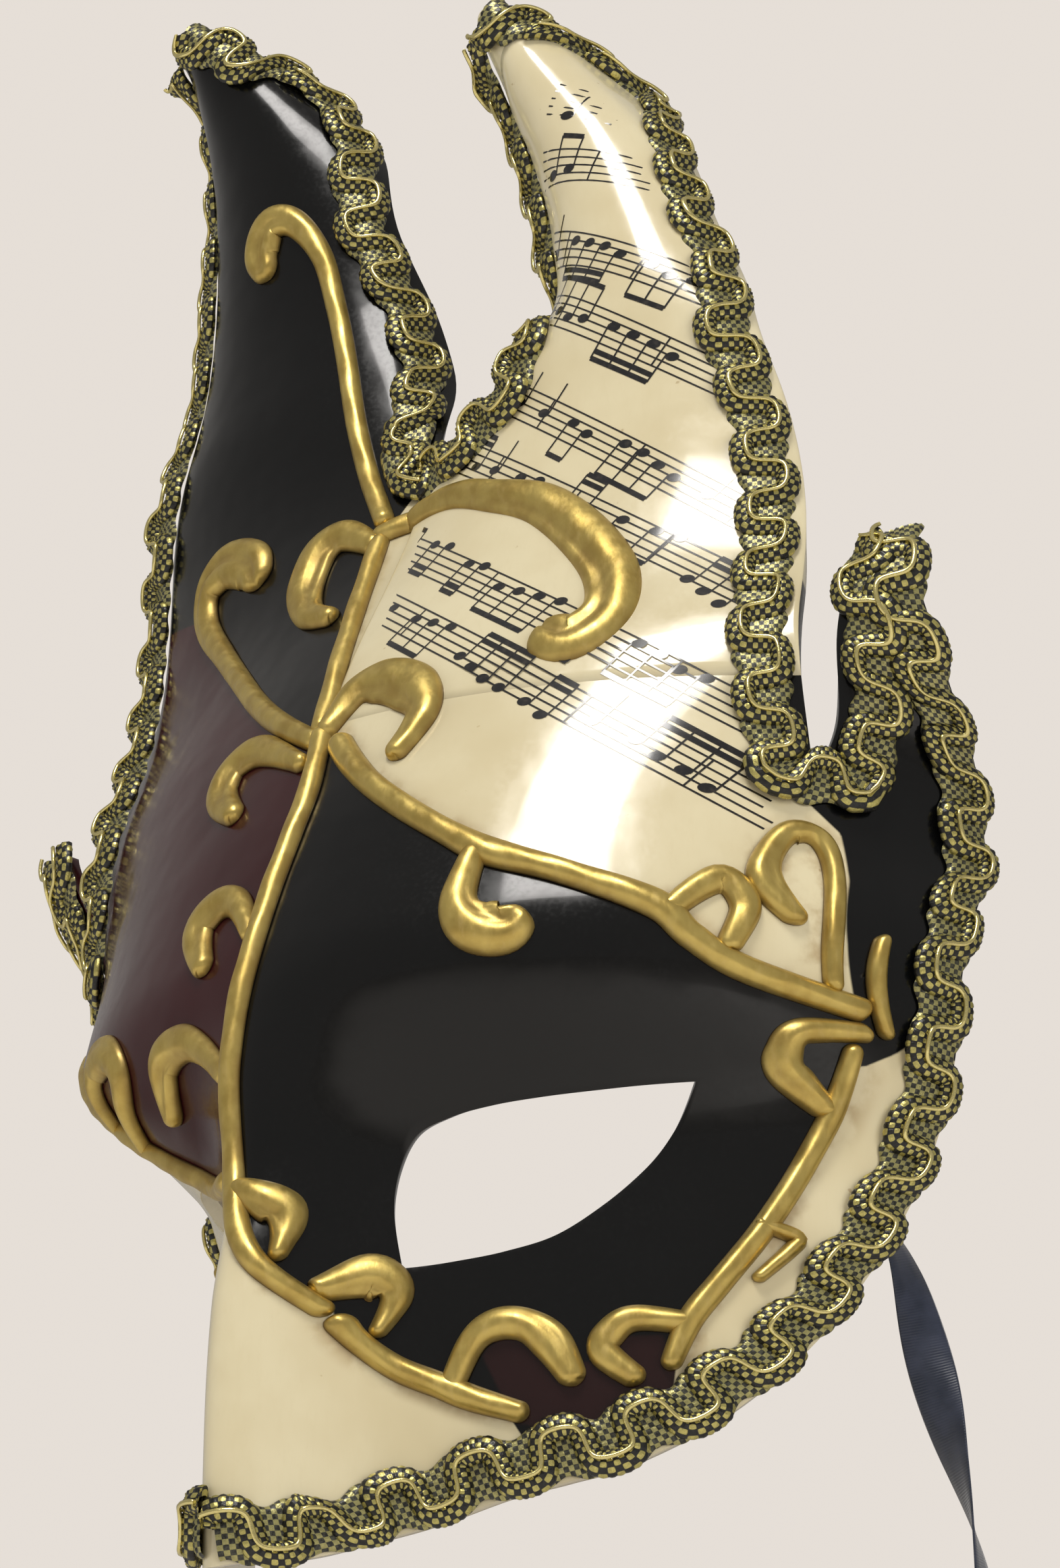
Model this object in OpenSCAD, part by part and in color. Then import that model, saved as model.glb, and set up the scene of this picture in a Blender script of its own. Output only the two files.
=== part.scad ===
// Venetian half mask with a crown of four horns, trimmed with gimp braid
// and raised scrolls, worn on the face with a satin ribbon.
// Frame: upright as worn, +Z up, the face looks towards -Y, +X is on the
// right when the mask is looked at from the front.  The origin lies on the
// middle line at the height of the eyes, in the plane of the side rims.

/* [Shell] */
// Width of the face across the side rims
face_w = 152; // [140:1:166]
// Height of the tallest horn above the eye line
crown_h = 206; // [180:1:232]
// Drop of the nose edge below the eye line
nose_drop = 53; // [47:1:60]
// Reach of the nose in front of the side rims
nose_reach = 67; // [58:1:76]
// Wall of the moulded shell
shell_t = 2; // [1.5:0.1:2.6]
// Length of an eye hole
eye_w = 36; // [32:1:40]
// Height of an eye hole
eye_h = 21; // [17:1:24]

/* [Horns] */
// How far the middle of a tall horn bulges in front of its edges
horn_bulge = 9; // [6:0.5:12]
// How far the edges of a tall horn roll back
edge_roll = 5; // [2:0.5:7]
// How far the small side horns flare forward
side_flare = 9; // [5:0.5:12]

/* [Trim] */
// Width of the gimp braid
braid_w = 9; // [7:0.5:10]
// Bare strip left beyond the braid on the rolled edges
bare_edge = 2; // [1:0.5:3]
// Thickness of the gimp braid
braid_t = 2.6; // [2:0.1:3.2]
// Width scale of the raised scrolls, 1 is as designed
bead_scale = 1; // [0.8:0.05:1.15]
// Height of the raised scrolls
bead_h = 1.8; // [1.2:0.1:2.4]
// Thickness of the printed score paper
paper_t = 0.3; // [0.2:0.05:0.4]
// Clearance between glued pieces
glue_gap = 0.3; // [0.2:0.05:0.4]

/* [Ribbon] */
// Width of the satin ribbon
ribbon_w = 6; // [5:0.5:8]
// Thickness of the fixing patches inside the shell
patch_t = 1; // [0.8:0.1:1.5]
// Length of the fixing patches
patch_l = 22; // [18:1:26]
// Length of the folded hank, end to end
hank_l = 96; // [90:1:110]
// Width of the folded hank
hank_w = 36; // [34:1:42]

/* [Hidden] */

// Scales from the drawn outline, whose face is 152 wide, whose tallest horn
// is 206 high and whose nose edge lies 53 below the eye line.
kx = face_w / 152;
ku = crown_h / 206;
kd = nose_drop / 53;
ky = nose_reach / 67;
function real_x(x) = x * kx;
function real_z(z) = z > 0 ? z * ku : z * kd;
function drawn_z(z) = z > 0 ? z / ku : z / kd;
function real(p) = [for (i = [0:len(p) - 1]) [real_x(p[i].x), real_z(p[i].y)]];

function mix(a, b, t) = a + (b - a) * t;
function ease(a, b, x) = let(t = max(0, min(1, (x - a) / (b - a)))) t * t * (3 - 2 * t);
function unit(v) = v / norm(v);
function reversed(p) = [for (i = [len(p) - 1:-1:0]) p[i]];
function mirrored(p) = [for (q = p) len(q) == 2 ? [-q.x, q.y] : [-q.x, q.y, q[2]]];
function tail(p, k = 1) = [for (i = [k:len(p) - 1]) p[i]];

// A smooth function through [position, value] pairs.
function slope(t, i) =
    let(a = max(0, i - 1), b = min(len(t) - 1, i + 1))
    (t[b].y - t[a].y) / (t[b].x - t[a].x);
function segment(t, x, i = 0) = i >= len(t) - 2 || x < t[i + 1].x ? i : segment(t, x, i + 1);
function profile(t, x) =
    let(
        i = segment(t, x),
        h = t[i + 1].x - t[i].x,
        s = max(0, min(1, (x - t[i].x) / h)),
        s2 = s * s,
        s3 = s2 * s
    )
    (2 * s3 - 3 * s2 + 1) * t[i].y + (s3 - 2 * s2 + s) * h * slope(t, i)
    + (3 * s2 - 2 * s3) * t[i + 1].y + (s3 - s2) * h * slope(t, i + 1);

// A smooth curve through points, sampled in n equal steps of its parameter.
function curve_at(p, u) =
    let(
        m = len(p) - 1,
        i = min(m - 1, floor(u)),
        t = u - i,
        a = p[max(0, i - 1)],
        b = p[i],
        c = p[i + 1],
        d = p[min(m, i + 2)]
    )
    0.5 * (2 * b + (c - a) * t + (2 * a - 5 * b + 4 * c - d) * t * t
    + (3 * b - a - 3 * c + d) * t * t * t);
function curve(p, n) = [for (k = [0:n]) curve_at(p, k * (len(p) - 1) / n)];

// The outer surface of the shell, y as a function of x and z.
MIDDLE_PROFILE = [[-60, -66], [-45, -67], [-20, -66], [-3, -62], [12, -62.5], [25, -61],
    [45, -55], [65, -47], [90, -36], [110, -28], [125, -22], [140, -18], [220, -18]];
HORN_PROFILE = [[60, -47], [90, -36], [110, -31], [130, -28], [150, -27], [170, -29],
    [190, -33], [220, -42]];
LEFT_HORN_MID = [[60, -31], [118, -30], [148, -29], [178, -30], [200, -37], [208, -43]];
LEFT_HORN_HALF = [[60, 31], [118, 30], [148, 23], [178, 17], [200, 9], [208, 5]];
RIGHT_HORN_MID = [[60, 31], [117, 28.5], [134, 35], [148, 33], [162, 29], [174, 23.5], [190, 16]];
RIGHT_HORN_HALF = [[60, 31], [117, 28.5], [134, 16], [148, 13], [162, 11], [174, 8.5], [190, 5]];
CHEEK_Y = -50;
HEAD_HALF_W = 84;
HEAD_DEPTH = 96;
NOSE_HALF_W = 11;
CROWN_CURVE = 0.0052;
CHEEK_SWEEP = 26;
SWEEP_RISE = 0.62;
SWEEP_START = -5;

// The left cheek falls away faster than the right one, below a line that
// rises from the bridge of the nose to the temple.
function sweep(x, z) =
    let(above = z - SWEEP_RISE * abs(x) - SWEEP_START)
    x < 0 ? CHEEK_SWEEP * ease(0, 55, -x) * (1 - ease(-18, 2, above)) : 0;
function head(x) = HEAD_DEPTH * (1 - sqrt(max(0.02, 1 - (x / HEAD_HALF_W) ^ 2)));
function face(x, z) =
    let(
        low = 1 - ease(-5, 30, z),
        flat = ease(35, 75, z),
        ridge = (profile(MIDDLE_PROFILE, z) - CHEEK_Y) * exp(-(x / NOSE_HALF_W) ^ 2),
        below = CHEEK_Y + head(x) + ridge,
        above = profile(MIDDLE_PROFILE, z) + (1 - flat) * head(x) + flat * CROWN_CURVE * x * x
    )
    low * below + (1 - low) * above + sweep(x, z) - side_flare * ease(60, 80, abs(x)) * ease(46, 78, z);
function horn(x, z) =
    let(
        mid = profile(x > 0 ? RIGHT_HORN_MID : LEFT_HORN_MID, z),
        half = profile(x > 0 ? RIGHT_HORN_HALF : LEFT_HORN_HALF, z),
        side = x > 0 ? 1 : -1,
        u = max(-1.3, min(1.3, side * (x - mid) / half)),
        roll_out = (max(0, u - 0.78) / 0.22) ^ 2,
        roll_in = (max(0, -u - 0.78) / 0.22) ^ 2 * ease(118, 140, z)
    )
    profile(HORN_PROFILE, z) + horn_bulge * abs(u) ^ 2.2 + edge_roll * (roll_out + roll_in);
function drawn_y(x, z) =
    let(w = ease(75, 135, z))
    (w < 1 ? (1 - w) * face(x, z) : 0) + (w > 0 ? w * horn(x, z) : 0);
function skin_y(x, z) = ky * drawn_y(x / kx, drawn_z(z));

// A point h in front of the surface at x and z.
STEP = 0.25;
function skin_normal(x, z) =
    unit([
        (skin_y(x + STEP, z) - skin_y(x - STEP, z)) / (2 * STEP),
        -1,
        (skin_y(x, z + STEP) - skin_y(x, z - STEP)) / (2 * STEP)
    ]);
function on_skin(p, h = 0) = [p.x, skin_y(p.x, p.y), p.y] + h * skin_normal(p.x, p.y);

// Outline, right half: the nose corner, the lower edge and the side rim.
NOSE_CORNER = [0, -53];
LOWER_EDGE = [[0, -53], [8, -52], [14, -49.5], [20, -47.5], [28, -45], [35, -43.5], [42, -41.5], [51, -36],
    [59, -27], [65.5, -14], [70, 0.5], [73.7, 14], [75.6, 26]];
SIDE_RIM = [[75.6, 26], [76.4, 36], [76.8, 45]];
CROWN_BASE = [0, 50];
SIDE_VALLEY = [64, 48];
RIM_TOP = [76.8, 45];
VALLEY = [0, 118];
RIGHT_SMALL_IN = [[64, 48], [67, 56], [68.5, 68], [71, 81]];
RIGHT_SMALL_OUT = [[76.8, 45], [78.5, 58], [79.5, 71], [76, 83]];
LEFT_SMALL_IN = [[-64, 48], [-68, 54], [-72, 64], [-76, 74]];
LEFT_SMALL_OUT = [[-76.8, 45], [-79.5, 55], [-82, 65], [-81, 75]];
RIGHT_IN = [[0, 118], [8, 119.5], [15, 124], [19, 134], [20, 148], [18, 162], [15, 174], [13, 185]];
RIGHT_OUT = [[64, 48], [63, 75], [59, 104], [54, 125], [47, 145], [40, 163], [30, 178], [19, 187]];
LEFT_IN = [[0, 118], [-2, 132], [-6, 148], [-10, 163], [-14, 180], [-22, 193], [-31, 201], [-39, 206]];
LEFT_OUT = [[-64, 48], [-65, 75], [-63, 104], [-58, 125], [-53, 145], [-49, 165], [-47, 185], [-46, 204]];

// Eye hole: the upper lid runs from the outer corner to the inner corner
// below, the lower lid runs back along the cheek.
EYE_MID = [33, -5];
UPPER_LID = [[50.5, 6], [45, 5.6], [40, 5.2], [34, 4.8], [28, 4.3], [22.5, 3.4], [18, 1.6], [15.6, -2.5], [15, -8], [16, -15.5]];
LOWER_LID = [[16, -15.5], [22, -15], [28, -14.3], [34, -12.7], [39.5, -9], [44, -4.5], [47.5, 0.5], [50.5, 6]];
function eye(p) =
    [for (q = p)
        [real_x(EYE_MID.x) + (q.x - EYE_MID.x) * eye_w / 36,
        real_z(EYE_MID.y) + (q.y - EYE_MID.y) * eye_h / 21]];

// Steps along each stretch of the face's border and across it.
RIM_STEPS = 3;
HORN_FOOT_STEPS = 4;
BROW_STEPS = 14;
MIDDLE_STEPS = 16;
LOWER_STEPS = 23;
RINGS = 8;
FOREHEAD_ROWS = 8;
HORN_ROWS = 14;
SMALL_ROWS = 7;
function line(a, b, n) = [for (i = [0:n]) mix(a, b, i / n)];

// Crossing columns crowd towards the rolled edges of a horn.
function crowd(t) = (1 - cos(180 * t)) / 2;
function brow_line() =
    [for (i = [0:BROW_STEPS]) mix(CROWN_BASE, SIDE_VALLEY, crowd(i / BROW_STEPS))];
function lid_part(a, b, n) = [for (i = [0:n]) curve_at(UPPER_LID, mix(a, b, i / n))];
LID_TURN = 6;
BORDER_STEPS = RIM_STEPS + HORN_FOOT_STEPS + BROW_STEPS;
function border_loop() =
    concat(
        real(curve(SIDE_RIM, RIM_STEPS)),
        tail(real(line(RIM_TOP, SIDE_VALLEY, HORN_FOOT_STEPS))),
        tail(real(reversed(brow_line()))),
        tail(real(line(CROWN_BASE, NOSE_CORNER, MIDDLE_STEPS))),
        tail(real(curve(LOWER_EDGE, LOWER_STEPS)))
    );
function eye_loop() =
    concat(
        eye(lid_part(0, LID_TURN, BORDER_STEPS)),
        tail(eye(lid_part(LID_TURN, len(UPPER_LID) - 1, MIDDLE_STEPS))),
        tail(eye(curve(LOWER_LID, LOWER_STEPS)))
    );

// Each patch is a grid of [x, z] rows.
function face_patch() =
    let(a = eye_loop(), b = border_loop())
    [for (r = [0:RINGS]) [for (i = [0:len(a) - 1]) mix(a[i], b[i], r / RINGS)]];
function between(a, b, n) =
    [for (r = [0:len(a) - 1]) [for (i = [0:n]) mix(a[r], b[r], crowd(i / n))]];
function horn_patch(in, out) =
    let(
        foot = line(CROWN_BASE, VALLEY, FOREHEAD_ROWS),
        a = concat(foot, tail(curve(in, HORN_ROWS))),
        b = curve(out, FOREHEAD_ROWS + HORN_ROWS)
    )
    [for (row = between(a, b, BROW_STEPS)) real(row)];
function small_patch(in, out) =
    let(a = curve(in, SMALL_ROWS), b = curve(out, SMALL_ROWS))
    [for (r = [0:SMALL_ROWS]) real(line(a[r], b[r], HORN_FOOT_STEPS))];

// Faces of a grid of rows, and of the wall along one of its lines.
function grid_faces(rows, cols, at, flip) =
    [for (r = [0:rows - 2], i = [0:cols - 2])
        let(a = at + r * cols + i, b = a + 1, c = a + cols, d = c + 1)
        each flip ? [[a, c, b], [b, c, d]] : [[a, b, c], [b, d, c]]];
function wall_faces(ids, other, flip) =
    [for (i = [0:len(ids) - 2])
        let(a = ids[i], b = ids[i + 1], c = a + other, d = b + other)
        each flip ? [[a, b, c], [b, d, c]] : [[a, c, b], [b, c, d]]];
function grid_points(g, h) = [for (row = g, p = row) on_skin(p, h)];

// A curved sheet on the surface between two heights, made of patches.  Each
// patch is [grid, flip, lines], and a line is [row, column, row, column]
// along an open border.
function line_ids(cols, at, l) =
    let(n = max(abs(l[2] - l[0]), abs(l[3] - l[1])))
    [for (k = [0:n]) at + (l[0] + (l[2] - l[0]) * k / n) * cols + l[1] + (l[3] - l[1]) * k / n];
function start_of(patches, k) =
    k == 0 ? 0 : start_of(patches, k - 1) + len(patches[k - 1][0]) * len(patches[k - 1][0][0]);
module sheet(patches, top, bottom) {
    total = start_of(patches, len(patches));
    points = concat(
        [for (p = patches) each grid_points(p[0], top)],
        [for (p = patches) each grid_points(p[0], bottom)]
    );
    faces = [for (k = [0:len(patches) - 1])
        let(
            g = patches[k][0],
            flip = patches[k][1],
            at = start_of(patches, k),
            cols = len(g[0])
        )
        each concat(
            grid_faces(len(g), cols, at, flip),
            grid_faces(len(g), cols, at + total, !flip),
            [for (l = patches[k][2]) each wall_faces(line_ids(cols, at, l), total, flip)]
        )];
    polyhedron(points, faces, convexity = 8);
}

module shell() {
    face_cols = RIM_STEPS + HORN_FOOT_STEPS + BROW_STEPS + MIDDLE_STEPS + LOWER_STEPS;
    lower_from = face_cols - LOWER_STEPS;
    face_lines = [
        [0, 0, 0, face_cols],
        [RINGS, RIM_STEPS, RINGS, 0],
        [RINGS, face_cols, RINGS, lower_from]
    ];
    last = FOREHEAD_ROWS + HORN_ROWS;
    horn_lines = [
        [last, 0, FOREHEAD_ROWS, 0],
        [last, BROW_STEPS, last, 0],
        [0, BROW_STEPS, last, BROW_STEPS]
    ];
    small_lines = [
        [SMALL_ROWS, 0, 0, 0],
        [SMALL_ROWS, HORN_FOOT_STEPS, SMALL_ROWS, 0],
        [0, HORN_FOOT_STEPS, SMALL_ROWS, HORN_FOOT_STEPS]
    ];
    face_grid = face_patch();
    left_face = [for (row = face_grid) mirrored(row)];
    color("ivory")
        sheet([
            [face_grid, false, face_lines],
            [left_face, true, face_lines],
            [horn_patch(RIGHT_IN, RIGHT_OUT), true, horn_lines],
            [horn_patch(LEFT_IN, LEFT_OUT), false, horn_lines],
            [small_patch(RIGHT_SMALL_IN, RIGHT_SMALL_OUT), true, small_lines],
            [small_patch(LEFT_SMALL_IN, LEFT_SMALL_OUT), false, small_lines]
        ], 0, -shell_t);
}

// Printed score paper, glued over the right tall horn and the forehead
// above the brow vine.
SHEET_GAP = 0.12;
PAPER_FIRST_ROW = 2;
PAPER_ROWS_OFF = 2;
module score_paper() {
    whole = horn_patch(RIGHT_IN, RIGHT_OUT);
    rows = len(whole) - 1 - PAPER_FIRST_ROW - PAPER_ROWS_OFF;
    part = [for (r = [0:rows]) whole[PAPER_FIRST_ROW + r]];
    cols = BROW_STEPS;
    lines = [[0, 0, 0, cols], [0, cols, rows, cols], [rows, cols, rows, 0], [rows, 0, 0, 0]];
    color("cornsilk")
        sheet([[part, true, lines]], SHEET_GAP + paper_t, SHEET_GAP);
}

// A walk of d mm over the surface from a point [x, z] in a direction s.
WALK_STEPS = 3;
function steepness(p, s) =
    norm([1, (skin_y(p.x + s.x, p.y + s.y) - skin_y(p.x - s.x, p.y - s.y)) / 2]);
function walk(p, s, d, n = WALK_STEPS) =
    n == 0 ? p : walk(p + s * d / n / steepness(p, s), s, d - d / n, n - 1);

// A strip laid on the surface along a path of [x, z, width] points.  The
// section is a list of [across, up] points, across from -0.5 to 0.5 of the
// width and up from 0 to 1 of the height, run from left to right.
BEAD_SECTION = [[-0.5, 0], [-0.36, 0.7], [0, 1], [0.36, 0.7], [0.5, 0]];
BRAID_SECTION = [[-0.5, 0], [-0.5, 0.6], [-0.3, 1], [0.3, 1], [0.5, 0.6], [0.5, 0], [0.25, 0],
    [0, 0], [-0.25, 0]];
function aside(path, k) =
    let(
        a = path[max(0, k - 1)],
        b = path[min(len(path) - 1, k + 1)],
        d = unit([b.x - a.x, b.y - a.y])
    )
    [d.y, -d.x];
module laid_strip(path, section, height, lift) {
    m = len(section);
    n = len(path);
    points = [for (k = [0:n - 1])
        let(s = aside(path, k), p = [path[k].x, path[k].y])
        each [for (q = section) on_skin(walk(p, s, q.x * path[k][2]), lift + q.y * height)]];
    sides = [for (k = [0:n - 2], i = [0:m - 1])
        let(a = k * m + i, b = k * m + (i + 1) % m)
        each [[a, a + m, b], [b, a + m, b + m]]];
    polyhedron(
        points,
        concat([[for (i = [0:m - 1]) i]], [[for (i = [m - 1:-1:0]) (n - 1) * m + i]], sides),
        convexity = 6
    );
}
function lengths(p, k = 0) =
    k >= len(p) - 1 ? 0 : norm([p[k + 1].x - p[k].x, p[k + 1].y - p[k].y]) + lengths(p, k + 1);

// What lies on the shell starts this high, clear of the score paper.
lift = SHEET_GAP + paper_t + glue_gap / 2;

// Gimp braid, glued on along the edges.  A bare strip of edge, from bare[0]
// wide at its start to bare[1] at its end, is left beyond it, and its ends
// stop short of the next length.
BRAID_RING = 5;
CLOSE = 0.6;
function inset_path(edge, side, bare) =
    [for (k = [0:len(edge) - 1])
        let(
            s = side * aside(edge, k),
            t = ease(0.25, 0.75, k / (len(edge) - 1)),
            p = walk(edge[k], s, braid_w / 2 + mix(bare[0], bare[1], t), 5)
        )
        [p.x, p.y, braid_w]];
function stretch(p, from, to) =
    let(n = max(3, round((to - from) * lengths(p) / BRAID_RING)))
    [for (k = [0:n]) curve_at(p, mix(from, to, k / n) * (len(p) - 1))];
module braid(edge, side, bare, from = 0, to = 1) {
    color("darkkhaki")
        laid_strip(
            stretch(inset_path(real(edge), side, bare), from, to),
            BRAID_SECTION, braid_t, lift + glue_gap / 2
        );
}
EDGE_STEPS = 20;
module braid_centre_valley() {
    edge = concat(reversed(curve(LEFT_IN, EDGE_STEPS)), tail(curve(RIGHT_IN, EDGE_STEPS)));
    braid(edge, 1, [bare_edge, CLOSE], 0.02, 0.97);
}
module braid_right_valley() {
    edge = concat(reversed(curve(RIGHT_OUT, EDGE_STEPS)), tail(curve(RIGHT_SMALL_IN, 8)));
    braid(edge, 1, [bare_edge, CLOSE], 0.22, 0.815);
}
module braid_left_valley() {
    edge = concat(reversed(curve(LEFT_OUT, EDGE_STEPS)), tail(curve(LEFT_SMALL_IN, 8)));
    braid(edge, -1, [CLOSE, CLOSE], 0.2, 0.84);
}
function rim_edge(small) =
    concat(
        reversed(curve(small, 6)),
        tail(reversed(curve(SIDE_RIM, 3))),
        tail(reversed(curve(LOWER_EDGE, 30)))
    );
module braid_right_rim() {
    braid(rim_edge(RIGHT_SMALL_OUT), 1, [CLOSE, CLOSE], 0.04, 0.97);
}
module braid_left_rim() {
    braid(mirrored(rim_edge(mirrored(LEFT_SMALL_OUT))), -1, [CLOSE, CLOSE], 0.04, 0.97);
}

// Raised scrolls, each piped in one run.  Points are [x, z, width].
SCROLL_RING = 2.6;
function real_scroll(p) = [for (q = p) [real_x(q.x), real_z(q.y), q[2] * bead_scale]];
module scroll(p) {
    n = max(5, round(lengths(p) / SCROLL_RING));
    color("goldenrod")
        laid_strip(real_scroll(curve(p, n)), BEAD_SECTION, bead_h, lift);
}
CENTRE_VINE = [[0.5, 61, 3], [1.5, 54, 3], [1, 46, 3], [0, 37, 3], [-1, 27, 3], [-2, 17, 3], [-2.5, 8, 3],
    [-2, -1, 3], [0, -9, 3], [3.5, -15.5, 3], [7.5, -19.5, 3]];
NOSE_LEAF = [[11, -17.6, 3], [12.5, -16.8, 4.5], [14.6, -17.6, 4.5], [15.4, -19.6, 3.5], [14.6, -21.5, 2]];
BRIDGE_BUD = [[1.6, -6, 2.5], [4, -7.4, 4.5], [5.6, -9.8, 4], [5.4, -12, 2]];
LOWER_VINE = [[10, -21.8, 4], [12, -25, 3.2], [15.5, -28.3, 3], [20, -30.6, 3], [24, -32.6, 3], [27.6, -34, 2.4]];
ARCH_INNER = [[22.6, -28.6, 3], [24, -25.6, 3.2], [27, -23.6, 3.5], [30.5, -24, 3.6], [33.4, -26.6, 4], [34.6, -29, 3]];
ARCH_OUTER = [[45, -24.2, 2.6], [42.4, -23.8, 3], [39.8, -25.4, 3.4], [39, -28, 3.4], [40.6, -29.6, 2.8]];
CHEEK_VINE = [[64.4, 8.4, 2.5], [62.4, 3.6, 3], [59.8, -2, 3], [57.2, -8, 3], [54.4, -13.6, 3],
    [50.8, -19.4, 3], [47.8, -24.2, 3], [46.6, -27.4, 2.4]];
CHEEK_LEAF = [[57, -13.2, 1.6], [57.8, -13.6, 2], [57.3, -15.2, 2], [56, -16.8, 1.6]];
TEMPLE_CURL = [[64, 12.6, 2.5], [61.5, 12.4, 3.4], [59.5, 10, 4], [59.2, 7.2, 4.4], [60.4, 5, 3]];
HEART = [[65.4, 20.6, 2.6], [66, 27, 2.8], [65.6, 34, 2.8], [64.2, 38.6, 3], [61.6, 39.2, 3.2], [60, 35.6, 3.6],
    [60.2, 31.4, 4], [61.8, 28.6, 3]];
SIDE_SPRAY = [[68.4, 15.4, 2.2], [68.6, 19, 2.6], [69.2, 22.4, 2.2]];
BROW_VINE = [[3.6, 61.4, 3.4], [7, 57, 3.4], [12, 51.6, 3.2], [18, 46.4, 3.2], [25, 41, 3.2], [31, 37, 3.6],
    [40, 33, 3.2], [50, 28, 3.6], [53.6, 23.6, 3.4], [58, 19.6, 3.2], [64.6, 16.6, 3]];
BROW_CURL_INNER = [[29.2, 34.6, 3], [28.6, 30, 4], [30.6, 26.2, 5], [34.4, 25.4, 5], [36.6, 27.6, 3.6]];
BROW_CURL_OUTER = [[53.4, 28.8, 3], [56, 31.6, 3.6], [58.6, 27.6, 3.6], [57.6, 24.6, 3]];
FOREHEAD_LEAF = [[2, 65.6, 3], [4, 69.4, 4.4], [9, 70.2, 5.6], [14.4, 67, 5.4], [17, 62, 4], [15.4, 57.8, 3]];
FOREHEAD_STEM = [[-0.6, 66.6, 3], [-1.6, 75, 3], [-3, 84, 3], [-4.4, 93, 3], [-5, 100.6, 3]];
FOREHEAD_SPIRAL = [[-3.4, 104.6, 3], [2, 106, 3.6], [10, 105.4, 4], [18, 102, 4.4], [26, 98, 5], [33, 91, 5.4],
    [38.4, 82.6, 5.6], [39.4, 75.4, 5.4], [35.4, 71, 5.6], [31, 74, 6]];
HORN_SCROLL = [[-6.4, 109, 3], [-9.6, 116, 3], [-12.6, 126, 3], [-15, 138, 3], [-17.4, 150, 3], [-19.6, 160, 3.2],
    [-23.6, 166.6, 3.8], [-28, 167.6, 4.6], [-30.4, 163, 4.8], [-29, 158.6, 3.4]];
HORN_CURL = [[-7.6, 103.4, 3], [-11.6, 106, 4.4], [-16, 104, 5], [-17, 97.6, 5], [-14, 91.6, 4], [-10.6, 90, 3]];
LEFT_BRANCH = [[-2.6, 63.8, 3], [-9, 68.2, 3.2], [-17, 74.8, 3.2], [-25, 82.6, 3.2], [-34, 92, 3.4],
    [-41, 100.4, 4], [-42, 107, 4.6], [-37, 110, 5.4], [-31, 107.6, 5.6], [-28.6, 103, 4]];
LEFT_CURL_HIGH = [[-3.6, 60, 2.6], [-8, 62.8, 3.6], [-13, 65, 4.4], [-17.6, 63.6, 4.6], [-18, 58.6, 4.4], [-14.6, 55.4, 3]];
LEFT_CURL_MIDDLE = [[-3, 32.6, 2.6], [-6, 36.8, 3.6], [-10.4, 37.6, 4.6], [-13, 34, 4.4], [-11, 30, 3]];
LEFT_CURL_LOW = [[-5, 12.4, 2.6], [-9.6, 16.4, 3.4], [-15, 19, 4.2], [-20, 17.4, 4.4], [-20.4, 13.4, 3]];
LEFT_BROW_VINE = [[-5, -2.4, 3], [-13, 0, 3], [-21, 4.4, 3], [-29, 9, 3], [-38, 14.6, 3], [-47, 20.6, 3],
    [-55, 27, 3], [-61, 33.6, 2.6]];
LEFT_BROW_CURL = [[-32.6, 14.6, 2.6], [-31.4, 19.4, 3.6], [-35, 23.4, 4.4], [-40, 23, 4.4], [-41, 20, 3]];

module scroll_centre_vine() { scroll(CENTRE_VINE); }
module scroll_nose_leaf() { scroll(NOSE_LEAF); }
module scroll_bridge_bud() { scroll(BRIDGE_BUD); }
module scroll_lower_vine() { scroll(LOWER_VINE); }
module scroll_lower_arch_inner() { scroll(ARCH_INNER); }
module scroll_lower_arch_outer() { scroll(ARCH_OUTER); }
module scroll_cheek_vine() { scroll(CHEEK_VINE); }
module scroll_cheek_leaf() { scroll(CHEEK_LEAF); }
module scroll_temple_curl() { scroll(TEMPLE_CURL); }
module scroll_heart() { scroll(HEART); }
module scroll_side_spray() { scroll(SIDE_SPRAY); }
module scroll_brow_vine() { scroll(BROW_VINE); }
module scroll_brow_curl_inner() { scroll(BROW_CURL_INNER); }
module scroll_brow_curl_outer() { scroll(BROW_CURL_OUTER); }
module scroll_forehead_leaf() { scroll(FOREHEAD_LEAF); }
module scroll_forehead_stem() { scroll(FOREHEAD_STEM); }
module scroll_forehead_spiral() { scroll(FOREHEAD_SPIRAL); }
module scroll_horn() { scroll(HORN_SCROLL); }
module scroll_horn_curl() { scroll(HORN_CURL); }
module scroll_left_branch() { scroll(LEFT_BRANCH); }
module scroll_left_curl_high() { scroll(LEFT_CURL_HIGH); }
module scroll_left_curl_middle() { scroll(LEFT_CURL_MIDDLE); }
module scroll_left_curl_low() { scroll(LEFT_CURL_LOW); }
module scroll_left_brow_vine() { scroll(LEFT_BROW_VINE); }
module scroll_left_brow_curl() { scroll(LEFT_BROW_CURL); }
module scroll_left_cheek_vine() { scroll(mirrored(CHEEK_VINE)); }
module scroll_left_lower_vine() { scroll(mirrored(LOWER_VINE)); }

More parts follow.
